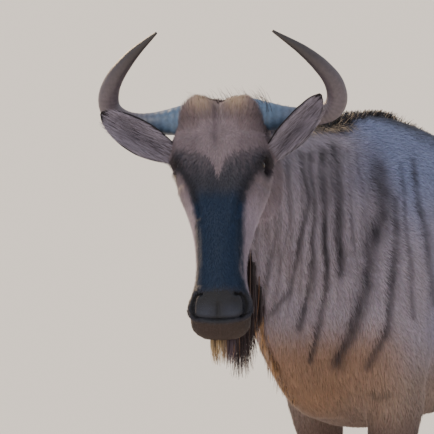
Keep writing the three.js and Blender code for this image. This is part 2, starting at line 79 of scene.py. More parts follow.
# %% Trunk, legs and tail
TORSO = [  # y, top, bottom, half width, height of the widest line
    (-655, 1010, 820, 60, 930), (-630, 1090, 768, 115, 950), (-580, 1190, 710, 142, 950),
    (-520, 1250, 662, 166, 945), (-440, 1285, 634, 190, 940), (-340, 1292, 632, 200, 930),
    (-230, 1268, 644, 215, 920), (-100, 1220, 656, 228, 910), (60, 1183, 664, 235, 900),
    (220, 1162, 700, 222, 910), (360, 1152, 760, 195, 940), (480, 1140, 830, 165, 970),
    (570, 1105, 880, 120, 990), (625, 1062, 935, 66, 1000)]
FORELEG = [  # z, y, x, reach forward, reach back, half width
    (56.3, -486, 130, 34, 34, 38), (95, -472, 130, 26, 28, 29), (130, -460, 130, 27, 32, 30),
    (160, -456, 130, 26, 32, 29), (210, -458, 130, 22, 26, 22), (300, -460, 130, 22, 26, 22),
    (370, -464, 130, 28, 30, 28), (415, -468, 131, 38, 34, 36), (450, -466, 132, 38, 36, 36),
    (500, -462, 134, 36, 38, 34), (580, -458, 138, 46, 54, 44), (660, -455, 140, 58, 74, 56),
    (730, -460, 141, 76, 98, 63), (800, -475, 142, 98, 122, 67), (900, -490, 143, 116, 140, 70),
    (1000, -470, 138, 115, 130, 68), (1100, -430, 112, 90, 100, 48), (1180, -400, 85, 50, 60, 24)]
HINDLEG = [
    (56.3, 476, 127, 34, 34, 38), (95, 490, 127, 27, 30, 30), (130, 502, 127, 28, 34, 31),
    (160, 508, 127, 28, 34, 30), (210, 514, 127, 24, 27, 23), (300, 522, 127, 24, 26, 23),
    (400, 532, 127, 28, 28, 27), (460, 536, 128, 38, 36, 34), (510, 530, 129, 42, 48, 34),
    (560, 505, 131, 46, 48, 36), (620, 465, 134, 62, 62, 44), (690, 425, 138, 85, 85, 55),
    (760, 400, 138, 110, 125, 70), (840, 410, 132, 145, 150, 84), (930, 430, 120, 160, 160, 88),
    (1020, 440, 100, 145, 145, 62), (1090, 440, 78, 100, 110, 36)]
STRIDE = {"front_left": -20, "front_right": 140, "hind_left": 60, "hind_right": -50}
SWING_FROM, SWING_OVER = 1050, 500  # a leg leans from one height down over the other
TAIL = [(0, 598, 1075, 30), (0, 640, 1040, 27), (0, 664, 960, 22), (0, 672, 860, 18),
        (0, 674, 760, 15), (0, 674, 690, 14)]  # x, y, z, radius
print("hump at, mm:", max(row[1] for row in TORSO), "chest to rump:", TORSO[-1][0] - TORSO[0][0])

# %% [markdown]
# The neck reaches forward and up from the shoulders, and a bar below it carries the loose
# skin of the throat. The head is turned, nodded and tilted as one piece, so it has measures
# of its own: sideways (s), down the face (h) and forward (f), from a point between the horns.

# %% Neck, head, horns and ears
NECK = [  # x, y, z of the middle, half width, reach up, reach down
    (0, -430, 1010, 165, 255, 270), (2, -560, 1045, 150, 235, 275), (10, -680, 1090, 125, 195, 275),
    (25, -790, 1140, 105, 145, 235), (35, -870, 1180, 95, 105, 200), (62, -960, 1215, 70, 70, 105)]
THROAT = [  # x, y, z of the lower edge from throat to brisket, half width, half depth
    (38, -900, 1050, 34, 60), (32, -838, 975, 44, 85), (24, -780, 905, 54, 105), (12, -738, 830, 62, 115),
    (4, -689, 770, 68, 115), (0, -638, 716, 78, 105), (0, -590, 684, 88, 95), (0, -530, 654, 100, 85)]
HEAD = [  # h, front f, throat f, half width, f of the widest line
    (-14, -66, -118, 48, -92), (0, -36, -152, 76, -95), (25, -12, -182, 90, -97),
    (60, 0, -205, 97, -100), (100, 2, -222, 100, -98), (135, 2, -230, 98, -95),
    (175, 4, -228, 89, -95), (215, 8, -208, 72, -105), (255, 10, -178, 60, -92),
    (295, 11, -152, 53, -75), (335, 9, -134, 50.5, -65), (370, 5, -122, 54, -60),
    (400, 0, -115, 62, -58), (430, -5, -110, 72, -57), (455, -14, -104, 70, -58),
    (472, -30, -92, 54, -60), (480, -48, -75, 30, -62)]
HORN = [  # s, h, f, radius
    (56, 22, -80, 36), (88, 24, -82, 30), (141, 27, -90, 22.5), (190, 22, -96, 20.5),
    (224, 4, -92, 21.5), (236, -24, -78, 21), (224, -60, -52, 18), (181, -102, -22, 12),
    (118, -143, 4, 2.5)]
EARS = {  # root, tip, opening (all s, h, f), half width, bow
    "right": ((-84, 103, -94), (-243, 13, -36), (-0.1, 0.35, 1), 36, 14),
    "left": ((84, 108, -98), (206, -16, -26), (0.5, 0.6, 0.75), 37, 15)}
LEFT_RISE = 7  # the left horn leaves the brow a little higher
RIGHT_BOW = 10  # and the right one curves a little less
EYE, EYE_RADIUS = (70, 121, -62), 20
HEAD_YAW, HEAD_NOD, HEAD_TILT = math.radians(29), math.radians(12), math.radians(-1.2)
HEAD_AT = np.array([98, -1043.5, 1333])
print("head, mm:", HEAD[-1][0] - HEAD[0][0], "long and", 2 * max(row[3] for row in HEAD), "wide")

# %% [markdown]
# ## Reading a table
# A table holds only a few outlines. A cubic curve through them, with its slopes taken from
# the neighbours, gives as many as a surface needs, and no kink shows where a row was.

# %% Smooth curves
def between(rows, at):
    """Every column of a table at values of its first one, on a smooth curve."""
    rows, at = np.asarray(rows, float), np.atleast_1d(np.asarray(at, float))
    x = rows[:, 0]
    before, after = np.maximum(np.arange(len(x)) - 1, 0), np.minimum(np.arange(len(x)) + 1, len(x) - 1)
    slope = (rows[after] - rows[before]) / (x[after] - x[before])[:, None]
    i = np.clip(np.searchsorted(x, at, side="right") - 1, 0, len(x) - 2)
    d = (x[i + 1] - x[i])[:, None]
    t = np.clip((at - x[i])[:, None] / d, 0, 1)
    mix = 3 * t**2 - 2 * t**3
    return (rows[i] * (1 - mix) + rows[i + 1] * mix
            + d * ((t**3 - 2 * t**2 + t) * slope[i] + (t**3 - t**2) * slope[i + 1]))


def step(x, a, b):
    """0 before a, 1 after b, smooth between."""
    t = np.clip((np.asarray(x, float) - a) / (b - a), 0, 1)
    return t * t * (3 - 2 * t)


def sections(rows, count):
    """Evenly spaced rows of a table, from its first to its last."""
    return between(rows, np.linspace(rows[0][0], rows[-1][0], count))


def numbered(rows):
    """A table with a running number put first, for a course that doesn't follow one axis."""
    return [(i, *row) for i, row in enumerate(rows)]


print("half width of the trunk at y = -500, mm:", between(TORSO, -500)[0, 3].round(1))

# %% [markdown]
# ## The head's own directions
# Three directions at right angles turn the head's measures into places on the animal, and
# places back into measures. Parenting to an empty would do the same for objects, but the
# colours and the hair need it for hundreds of thousands of points at once.

# %% Directions of the head
face_forward = np.array([math.sin(HEAD_YAW), -math.cos(HEAD_YAW), 0])
SIDE = np.array([math.cos(HEAD_YAW), math.sin(HEAD_YAW), 0])
FORWARD = face_forward * math.cos(HEAD_NOD) + np.array([0, 0, math.sin(HEAD_NOD)])
DOWN = face_forward * math.sin(HEAD_NOD) - np.array([0, 0, math.cos(HEAD_NOD)])
SIDE, DOWN = (SIDE * math.cos(HEAD_TILT) + DOWN * math.sin(HEAD_TILT),
              DOWN * math.cos(HEAD_TILT) - SIDE * math.sin(HEAD_TILT))
HEAD_AXES = np.array([SIDE, DOWN, FORWARD])


def on_head(points):
    return HEAD_AT + np.asarray(points, float) @ HEAD_AXES


def to_head(points):
    return (np.asarray(points, float) - HEAD_AT) @ HEAD_AXES.T


# The frame may stand a little off the measures' own origin: one node says by how much.
eye_low, eye_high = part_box("eye_left")
offset = np.array((eye_low + eye_high) / 2) * 1000 - on_head(EYE)
print("offset from the measures, mm:", offset.round(1))

# %% [markdown]
# ## From outlines to meshes
# A loft joins neighbouring outlines with quads and closes both ends. Blender could also do
# this with curves and a bevel, but a table of outlines keeps every width a real measure.

# %% Outlines and lofts
def outline(count, right, left, up, down, pow_up=2.0, pow_down=None):
    """Points of a rounded outline with its own reach to each side, as (u, v)."""
    a = np.linspace(0, 2 * np.pi, count, endpoint=False)
    c, s = np.cos(a), np.sin(a)
    power = np.where(s >= 0, 2 / pow_up, 2 / (pow_down or pow_up))
    u = np.sign(c) * np.abs(c) ** power * np.where(c >= 0, right, left)
    v = np.sign(s) * np.abs(s) ** power * np.where(s >= 0, up, down)
    return np.stack([u, v], 1)


def loft(rings):
    """Vertices and faces of a closed skin over rings of points."""
    rings = np.asarray(rings, float)
    m, n = rings.shape[:2]
    k = np.arange(n)
    faces = [(r * n + a, r * n + b, (r + 1) * n + b, (r + 1) * n + a)
             for r in range(m - 1) for a, b in zip(k, (k + 1) % n)]
    points = np.vstack([rings.reshape(-1, 3), rings[0].mean(0), rings[-1].mean(0)])
    faces += [(m * n, b, a) for a, b in zip(k, (k + 1) % n)]
    faces += [(m * n + 1, (m - 1) * n + a, (m - 1) * n + b) for a, b in zip(k, (k + 1) % n)]
    return points, faces


print("faces of a loft of 3 outlines with 8 points:", len(loft(np.zeros((3, 8, 3)))[1]))

# %% Mesh objects
def make_mesh(name, points, faces):
    """A smooth mesh object in the row frame from points in the animal's millimetres."""
    mesh = bpy.data.meshes.new(name)
    mesh.from_pydata(((np.asarray(points) + offset) / 1000).tolist(), [], faces)
    mesh.validate()
    bm = bmesh.new()
    bm.from_mesh(mesh)
    bmesh.ops.recalc_face_normals(bm, faces=bm.faces)
    bm.to_mesh(mesh)
    bm.free()
    mesh.shade_smooth()
    made = bpy.data.objects.new(name, mesh)
    bpy.context.scene.collection.objects.link(made)
    return made


print("a millimetre is", 1 / 1000, "units here, as the frame is in metres")

# %% [markdown]
# Horns and tail are round bars along a bent path. Each ring is turned only as far as the
# path bends, so that the bar doesn't twist. A ball does for the brow, the sockets and the eyes.

# %% Bars and balls
def sweep(path, count, sides):
    """Rings of a round bar along (x, y, z, radius) points, with how far along each ring is."""
    rows = np.column_stack([np.arange(len(path)), path])
    along = np.linspace(0, len(path) - 1, count)
    spine = between(rows, along)[:, 1:]
    side, rings = np.array([0.31, 0.2, 0.93]), []
    for i in range(count):
        forward = spine[min(i + 1, count - 1), :3] - spine[max(i - 1, 0), :3]
        forward /= np.linalg.norm(forward)
        side = side - forward * (side @ forward)
        side /= np.linalg.norm(side)
        ring = outline(sides, *[spine[i, 3]] * 4)
        rings.append(spine[i, :3] + ring[:, :1] * side + ring[:, 1:] * np.cross(forward, side))
    return np.array(rings), along / (len(path) - 1)


def ball(centre, size, frame_axes=np.eye(3), rings=14, sides=20):
    """An egg-shaped lump with its own directions."""
    a = np.linspace(0.02, np.pi - 0.02, rings)
    b = np.linspace(0, 2 * np.pi, sides, endpoint=False)
    unit = np.stack([np.outer(np.sin(a), np.cos(b)), np.outer(np.sin(a), np.sin(b)),
                     np.outer(np.cos(a), np.ones(sides))], -1)
    return loft(centre + (unit * size) @ frame_axes)


print("faces of a ball:", len(ball(np.zeros(3), (1, 1, 1))[1]))

# %% [markdown]
# ## The forms of the flesh
# Each form is closed and reaches well into its neighbours, so nothing opens when they are
# melted together. The trunk is sharper over the hump, and a leg leans forward or back from
# its upper end down, which sets the stride.

# %% Trunk and legs
TRUNK_SIDES, LEG_SIDES = 72, 32


def torso_form():
    rings = []
    for y, top, bottom, half, middle in sections(TORSO, 90):
        hump = step(-y, 60, 380) * 0.5
        o = outline(TRUNK_SIDES, half, half, top - middle, middle - bottom, 2.2 - hump, 2.3)
        rings.append(np.column_stack([o[:, 0], np.full(TRUNK_SIDES, y), middle + o[:, 1]]))
    return loft(rings)


def leg_of(name):
    """The table of a leg, and 1 for the animal's left side or -1 for its right."""
    return FORELEG if "front" in name else HINDLEG, 1 if "left" in name else -1


def leg_form(name, stride):
    rows, side = leg_of(name)
    rings = []
    for z, y, x, fore, aft, half in sections(rows, 110):
        y += stride * min(max(0, (SWING_FROM - z) / SWING_OVER), 1)
        o = outline(LEG_SIDES, half, half, aft, fore)
        rings.append(np.column_stack([side * x + o[:, 0], y + o[:, 1], np.full(LEG_SIDES, z)]))
    return loft(rings)


flesh = [torso_form()]
legs = [leg_form(name, stride) for name, stride in STRIDE.items()]
print("points of the trunk:", len(flesh[0][0]), "and of a leg:", len(legs[0][0]))

# %% Neck, throat and head
HEAD_SIDES = 64


def neck_form():
    rings = []
    for t, x, y, z, half, up, down in sections(numbered(NECK), 50):
        tilt = -0.12 - 0.30 * t / 5
        o = outline(56, half, half, up, down, 1.7 + 0.3 * t / 5, 2.1)
        at = np.column_stack([y + o[:, 1] * math.sin(tilt), z + o[:, 1] * math.cos(tilt)])
        rings.append(np.column_stack([x + o[:, 0], at]))
    return loft(rings)


def throat_form():
    rings, inward = [], np.array([0.766, 0.642])
    for _, x, y, z, half, deep in sections(numbered(THROAT), 60):
        o = outline(32, half, half, deep, deep)
        at = np.array([y, z]) + (deep + o[:, 1:]) * inward
        rings.append(np.column_stack([x + o[:, 0], at]))
    return loft(rings)


def head_form():
    rings = []
    for h, front, back, half, middle in sections(HEAD, 110):
        flat_front = 2.5 - 0.35 * step(h, 180, 300)
        flat_back = 2.0 + 0.3 * step(h, 180, 400)
        o = outline(HEAD_SIDES, half, half, front - middle, middle - back, flat_front, flat_back)
        rings.append(on_head(np.column_stack([o[:, 0], np.full(HEAD_SIDES, h), middle + o[:, 1]])))
    return loft(rings)


flesh += [neck_form(), throat_form(), head_form(), loft(sweep(TAIL, 40, 24)[0])]
flesh += legs
print("forms so far:", len(flesh))

# %% [markdown]
# An ear is a leaf of cartilage and thin skin, cupped round its opening. Its rings have a
# rounded back and a hollow front. Only its root belongs to the flesh: the leaf itself comes
# later, as a thin shell of its own, because melting would fill the cup.

# %% Ears, brow and sockets
EAR_LEAF = [  # along, width, cup, thickness
    (0, 0.5, 0.05, 15), (0.12, 0.58, 0.12, 14), (0.25, 0.8, 0.42, 9), (0.45, 1, 0.5, 6.5),
    (0.65, 0.96, 0.42, 5.5), (0.82, 0.74, 0.3, 5), (0.94, 0.42, 0.14, 4.5), (1, 0.1, 0.02, 3)]
EAR_SKIN = 1.5  # the shell is thinner than the solid by this much
EAR_ROOT_RINGS = 16


def ear_rings(hand, count=60, across=16):
    """Rings of a cupped ear, and the ear's own directions: along, to the front and wide."""
    root, tip, opening, half, bow = EARS[hand]
    a, b = on_head(root), on_head(tip)
    along = (b - a) / np.linalg.norm(b - a)
    front = np.asarray(opening) @ HEAD_AXES
    front = front - along * (front @ along)
    front /= np.linalg.norm(front)
    wide = np.cross(along, front)
    q, rings = np.linspace(-1, 1, across + 1), []
    for t, width, cup, thick in sections(EAR_LEAF, count):
        w, thick = width * half, thick - EAR_SKIN
        middle = a + (b - a) * t + front * bow * math.sin(math.pi * t)
        back = np.column_stack([q * w, -cup * half * (1 - q**2) - thick * np.sqrt(1.05 - q**2)])
        inner = np.column_stack([q * w * 0.95, -cup * half * (1 - q**2) * 0.98])[::-1]
        both = np.vstack([back, inner])
        rings.append(middle + both[:, :1] * wide + both[:, 1:] * front)
    return np.array(rings), along, front, wide


for side in (1, -1):
    knob, socket = (side * 38, 22, -34), (side * (EYE[0] + 8), EYE[1], EYE[2])
    flesh.append(ball(on_head(knob), (44, 38, 38), HEAD_AXES))
    flesh.append(ball(on_head(socket), (20, 25, 34), HEAD_AXES))
for hand in EARS:
    flesh.append(loft(ear_rings(hand)[0][:EAR_ROOT_RINGS]))
print("forms:", len(flesh))

# %% [markdown]
# ## One skin
# Flesh has no seams, so the forms are melted into one surface. A voxel remesh does that: it
# fills space with small cubes and wraps what is inside. A boolean union would keep a sharp
# crease at each joint. The cubes are a little over 8 mm, which is enough for a flank, and
# the head is then divided once more, and its eyes and muzzle twice.

# %% Melt the forms together
VOXEL = 8.2


def melted(forms):
    points = np.vstack([p for p, _ in forms])
    start, faces = 0, []
    for p, f in forms:
        faces += [tuple(i + start for i in face) for face in f]
        start += len(p)
    source = make_mesh("melt", points, faces)
    remesh = source.modifiers.new("melt", "REMESH")
    remesh.mode, remesh.voxel_size, remesh.adaptivity = "VOXEL", VOXEL / 1000, 0
    mesh = bpy.data.meshes.new_from_object(source.evaluated_get(bpy.context.evaluated_depsgraph_get()))
    bpy.data.objects.remove(source)
    return mesh


skin_mesh = melted(flesh)
print("cubes give", len(skin_mesh.vertices), "vertices")

# %% [markdown]
# The remesh leaves small steps. Relaxing moves each vertex towards the middle of its
# neighbours, a few times everywhere and many times over the shoulder and the thigh, where
# leg and trunk meet. Blender's smooth modifier does the same with a vertex group for its
# weight. Here the weight is a formula of the place, as every marking is later.

# %% Read, move and relax vertices
def vertices_of(mesh):
    co = np.empty(len(mesh.vertices) * 3, np.float32)
    mesh.vertices.foreach_get("co", co)
    return co.reshape(-1, 3).astype(float) * 1000 - offset


def normals_of(mesh):
    out = np.empty(len(mesh.vertices) * 3, np.float32)
    mesh.vertices.foreach_get("normal", out)
    return out.reshape(-1, 3).astype(float)


def set_vertices(mesh, points):
    mesh.vertices.foreach_set("co", ((points + offset) / 1000).astype(np.float32).ravel())
    mesh.update()


def relax(mesh, points, rounds, weight=1.0):
    """Moves each vertex towards the middle of its neighbours."""
    edges = np.empty(len(mesh.edges) * 2, np.int32)
    mesh.edges.foreach_get("vertices", edges)
    a, b = edges[::2], edges[1::2]
    n = len(points)
    degree = np.bincount(a, minlength=n) + np.bincount(b, minlength=n)
    weight = np.broadcast_to(weight, (n,))[:, None] * 0.5
    for _ in range(rounds):
        total = np.stack([np.bincount(a, points[b, c], n) + np.bincount(b, points[a, c], n)
                          for c in range(3)], 1)
        points = points + weight * (total / np.maximum(degree, 1)[:, None] - points)
    return points


print("lowest point of the melted skin, mm:", vertices_of(skin_mesh)[:, 2].min().round(1))

# %% Smooth the joints and divide the head
def divide(mesh, wanted):
    """Splits the faces whose middle is wanted into four."""
    bm = bmesh.new()
    bm.from_mesh(mesh)
    middle = np.array([f.calc_center_median() for f in bm.faces]) * 1000 - offset
    mask = wanted(middle)
    edges = {e for f, m in zip(bm.faces, mask) if m for e in f.edges}
    bmesh.ops.subdivide_edges(bm, edges=list(edges), cuts=1, use_grid_fill=True)
    bm.to_mesh(mesh)
    bm.free()


def on_the_head(points):
    _, h, f = to_head(points).T
    return (f > -150 - 0.2 * h) & (h > -60) & (h < 520)


def on_the_details(points):
    s, h, f = to_head(points).T
    eye = (np.abs(h - EYE[1]) < 34) & (np.abs(f - EYE[2]) < 42) & (np.abs(s) > 60)
    muzzle = (h > 372) & (f > -115)
    return on_the_head(points) & (eye | muzzle)


p = vertices_of(skin_mesh)
shoulder = step(p[:, 2], 620, 760) * step(-p[:, 1], 150, 300) * (1 - step(-p[:, 1], 640, 740))
haunch = step(p[:, 2], 640, 780) * step(p[:, 1], 220, 330)
p = relax(skin_mesh, p, 4)
p = relax(skin_mesh, p, 40, np.clip(shoulder + haunch, 0, 1))
set_vertices(skin_mesh, p)
for wanted, rounds in ((on_the_head, 3), (on_the_details, 2)):
    divide(skin_mesh, wanted)
    p = vertices_of(skin_mesh)
    set_vertices(skin_mesh, relax(skin_mesh, p, rounds, wanted(p)))
print("skin vertices:", len(skin_mesh.vertices), "faces:", len(skin_mesh.polygons))

# %% [markdown]
# ## Carving
# Folds, lids, nostrils and lips are too fine for the melted surface, so they are carved by
# moving vertices: each feature is a distance to a line or point, turned to a small push.

# %% Noise and distance helpers
def noise(points, size, seed=0):
    """Smooth random values from -1 to 1 that change over about size millimetres."""
    q = np.asarray(points, float) / size + seed * 17.31
    cell = np.floor(q).astype(np.int64)
    f = q - cell
    f = f * f * (3 - 2 * f)
    total = np.zeros(len(q))
    for corner in range(8):
        bits = np.array([corner & 1, corner >> 1 & 1, corner >> 2 & 1])
        k = (cell + bits) & 0xFFFF
        mixed = (k[:, 0] * 73856093 ^ k[:, 1] * 19349663 ^ k[:, 2] * 83492791) & 0x7FFFFFFF
        mixed = (mixed ^ mixed >> 13) * 1274126177 & 0x7FFFFFFF
        value = (mixed ^ mixed >> 16) % 65536 / 32767.5 - 1
        total += value * np.prod(np.where(bits, f, 1 - f), axis=1)
    return total


def line_distance(points, line):
    """Distance from 2-D points to a broken line."""
    best = np.full(len(points), 1e9)
    for a, b in zip(line[:-1], line[1:]):
        a, b = np.array(a, float), np.array(b, float)
        t = np.clip((points - a) @ (b - a) / ((b - a) @ (b - a)), 0, 1)
        best = np.minimum(best, np.linalg.norm(points - a - t[:, None] * (b - a), axis=1))
    return best


def bump(x, width):
    return np.exp(-(np.asarray(x) / width) ** 2)


def along_stripes(p):
    """A measure across the stripes: backward along the body and outward to its side."""
    return 0.819 * np.abs(p[:, 0]) + 0.574 * p[:, 1]


print("noise at three places:", noise([[0, 0, 0], [5, 0, 0], [10, 0, 0]], 10).round(2))

# %% [markdown]
# ### Trunk and legs
# Under the thin coat the shoulder blade, the elbow and the hip stand out, the flank sinks in
# front of the thigh, and the skin of the neck lies in folds that run with the stripes. The
# whole skin is first taken in by the depth of the coat, which brings the hair's outer face
# back to the surface of the solids.

# %% Carve the trunk and the neck
COAT_DEPTH, FACE_COAT_DEPTH = 3.0, 1.5
LEGS_BELOW = 640  # height under which the limbs are free of the trunk
p, n = vertices_of(skin_mesh), normals_of(skin_mesh)
x, y, z = p.T
in_head = on_the_head(p)
push = np.full(len(p), -COAT_DEPTH)
push[in_head] = -FACE_COAT_DEPTH


def beside(line, width):
    """Nearly 1 beside a line drawn on the animal's side, as (y, z), and 0 away from it."""
    return bump(line_distance(p[:, 1:], line), width)


trunk = ~in_head & (z > LEGS_BELOW)
push += trunk * 5 * beside([(-560, 900), (-470, 1080), (-400, 1230)], 60) * step(z, 850, 950)  # blade
push -= trunk * 5 * beside([(-300, 1180), (-330, 1000), (-350, 800)], 34)  # behind the blade
push -= trunk * 7 * beside([(-400, 730), (-350, 780), (-300, 800)], 26)  # behind the elbow
push += trunk * 3 * beside([(-620, 860), (-520, 800)], 50)  # point of the shoulder
push += (trunk * 1.2 * np.sin(y / 34 + z / 120) * step(y, -260, -160) * (1 - step(y, 180, 280))
         * bump(z - 920, 140))  # ribs
push -= trunk * 14 * beside([(300, 900), (330, 1010), (310, 1080)], 55)  # flank
push += trunk * 6 * beside([(330, 1130), (400, 1110)], 40)  # hip bone
push -= trunk * 5 * beside([(540, 1000), (500, 880), (520, 780)], 30)  # behind the thigh
folds = np.sin(along_stripes(p) / 4.0 + noise(p, 90, 3) * 1.6)
push += ~in_head * 1.8 * folds * step(-y, 470, 560) * step(z, 850, 950) * (1 - step(z, 1200, 1260))
push += ~in_head * 1.5 * noise(p, 60, 1)
print("trunk, deepest and highest push, mm:", push.min().round(1), push.max().round(1))

# %% Carve the legs
low = z < LEGS_BELOW
push += low * 2.2 * bump(z - 430, 30) * (y < 0) * bump(np.abs(x) - 131, 26)  # knee
push -= low * 2.4 * bump(z - 250, 120) * bump(np.abs(np.abs(x) - 130) - 22, 10)  # groove of the sinews
push[low] += 1.2  # shorter hair, so less of the skin is taken in
print("vertices of the legs:", int(low.sum()))

# %% [markdown]
# ### Face
# The bone shows under the face: a ridge over the eye, a hollow below it, and a long bridge
# with a fold on each side. The nostrils are narrow crescents, and the mouth is a line that
# slopes back to its corner. Places are measured from the side as (h, f), or from the front
# as (distance from the middle, h), so that one line serves both sides of the face.

# %% Carve the face
NOSTRIL = [(36, 391), (45, 390), (51, 397), (55, 409), (55, 421), (52, 432), (47, 439)]
MOUTH_SLOPE, MOUTH_AT, MOUTH_CORNER = 0.83, 450, -95
LIP_FRONT = -5  # f of the lips in the middle


def below_mouth(h, f):
    """How far a place is below the line of the mouth."""
    return h - (MOUTH_AT + MOUTH_SLOPE * (f - LIP_FRONT))


s, h, f = to_head(p).T
facing_front = (n @ HEAD_AXES.T)[:, 2]
away = np.abs(s)
from_side, from_front = np.column_stack([h, f]), np.column_stack([away, h])
near_eye = in_head & (away > 45) & (np.hypot(h - EYE[1], f - EYE[2]) < 60)
push += near_eye * 3.5 * bump(line_distance(from_side, [(112, -90), (108, -62), (116, -30)]), 9)
push -= near_eye * 2.5 * bump(line_distance(from_side, [(160, -95), (163, -60), (158, -20)]), 8)
push += in_head * 3 * bump(away - 30, 12) * step(h, 165, 200) * (1 - step(h, 330, 370)) * (f > -25)
push -= in_head * 2.5 * bump(away, 14) * step(h, 60, 90) * (1 - step(h, 170, 210)) * (f > -25)
fold = line_distance(from_front, [(80, 118), (62, 150), (44, 196), (36, 230)])
push -= in_head * 2.6 * bump(fold, 6) * (f > -50)
push += in_head * 1.8 * bump(fold - 11, 6) * (f > -50)
ripple = np.sin(away * 0.55 + h * 0.12) * bump(away - 26, 16) * bump(h - 190, 24)
push += in_head * 0.9 * ripple * (f > -30)
print("deepest fold of the face, mm:", push[in_head].min().round(1))

# %% Carve the muzzle
def pit_width(h):
    """Half width of the nostril's opening, widest in its middle."""
    return 1.9 + 2.8 * bump(h - 412, 22)


pit = line_distance(from_front, NOSTRIL)
in_front = in_head & (facing_front > -0.2) & (f > -58)
push -= in_front * (6 + 6 * bump(h - 410, 24)) * bump(pit, pit_width(h))
push += in_front * 2.6 * bump(pit - 8.5, 4.5) * (away > 50)
push += in_front * 1.6 * bump(pit - 9, 6) * (away <= 50)
push -= in_front * 2.5 * bump(away, 4) * step(h, 404, 420) * (1 - step(h, 436, 446))
lip = below_mouth(h, f)
at_mouth = in_head * step(f, MOUTH_CORNER - 6, MOUTH_CORNER + 6)
push -= at_mouth * 5.5 * bump(lip, 2.6)
push += at_mouth * 1.6 * (bump(lip - 9, 5) + bump(lip + 9, 5))
push += in_head * 0.5 * noise(p, 9, 5) * step(h, 380, 400)
p = p + n * push[:, None]
print("depth of the nostrils, mm:", -push[in_head].min().round(1))

# %% [markdown]
# ### Eyelids and lower lip
# The lids lie on the eyeball, so they are not pushed along the skin but set at the ball's
# surface plus their own thickness. Inside the almond of the opening the skin falls behind
# the ball. A hard edge would follow the mesh and look torn, so the depth is a smooth ramp.

# %% Draw the lids onto the eyes
LID_WIDTH, LID_ABOVE, LID_BELOW = 22, 11.5, 9.5  # half the opening's length, and its two heights


def lid_distance(h, f):
    """How far a place is outside the almond of the eye's opening (negative inside)."""
    u, w = f - EYE[2] + 0.2 * (h - EYE[1]), h - EYE[1]
    room = 1 - (u / LID_WIDTH) ** 2
    return np.abs(w) - np.where(w < 0, LID_ABOVE, LID_BELOW) * room


local = to_head(p)
s, h, f = local.T
u, w = f - EYE[2], h - EYE[1]
ball_out = EYE[0] + np.sqrt(np.maximum(EYE_RADIUS**2 - u * u - w * w, 0))
d = lid_distance(h, f)
close = near_eye & (np.hypot(u, w) < 30)
over = np.where(close, 1 - step(d, 3, 15), 0)
lid_at = np.maximum(ball_out + 3.2 - 1.2 * step(np.abs(d), 0, 3), EYE[0] + 6)
opening = 1 - step(d, -3.5, 1.5)
new_away = np.abs(s) * (1 - over) + (lid_at * (1 - opening) + (ball_out - 5) * opening) * over
local[:, 0] = np.where(close & (d < 15), np.sign(s) * new_away, s)
print("vertices of the lids:", int((close & (d < 15)).sum()))

# %% Narrow the lower lip
below = step(below_mouth(local[:, 1], local[:, 2]), 2, 18) * in_head * at_mouth
local[:, 0] *= 1 - 0.13 * below
p = on_head(local)
set_vertices(skin_mesh, p)
skin = bpy.data.objects.new("skin", skin_mesh)
bpy.context.scene.collection.objects.link(skin)
skin_mesh.shade_smooth()
print("carved, lowest z:", round(float(p[:, 2].min()), 1))

# %% [markdown]
# ## Where the colours lie
# The coat is grey-brown with a lilac cast. Darker stripes run down the neck and the shoulder,
# the bridge of the nose is black with a painted blue reflection of the sky, the brow tan, the
# chest warm and the legs brown. Each marking is a formula of the place on the body. A painted
# picture would need a flat map, and the hair couldn't read it: this way skin and hair take the
# same colour.

# %% Colour helpers
def linear(hex_colour):
    """An sRGB hex colour as linear light."""
    c = np.array([int(hex_colour[i:i + 2], 16) for i in (0, 2, 4)]) / 255
    return np.where(c <= 0.04045, c / 12.92, ((c + 0.055) / 1.055) ** 2.4)


def palette(**shades):
    return {place: linear(shade) for place, shade in shades.items()}


def mix(a, b, t):
    return a + (b - a) * np.clip(t, 0, 1)[:, None]


def all_over(colour, count):
    """One colour for every one of count places."""
    return np.tile(colour, (count, 1))


print("half grey as linear light:", linear("808080").round(3))

# %% [markdown]
# The head is pale on the brow and the cheeks, with a dark mask that narrows below the eyes
# and runs down the bridge to the muzzle. The edge of the mask is two short tables, read
# from the middle outward and from the brow down, with noise to fray it.

# %% Colours of the face
FACE = palette(
    brow="7d6f76", cheek="9e909e", tan="b49c84", parting="4a3f48", mask="30303a", bridge="11253f",
    crease="221f27", lids="1d1a20", muzzle="2c2b34", jaw="3f3330", chin="40332d")
MASK_TOP = ([0, 8, 14, 20, 32, 48, 68, 84], [150, 128, 115, 108, 102, 97, 92, 84])  # away, h
MASK_EDGE = ([84, 108, 130, 150, 180, 240, 300, 344, 376, 400],
             [104, 98, 84, 68, 56, 49, 46, 46, 54, 75])  # h, away


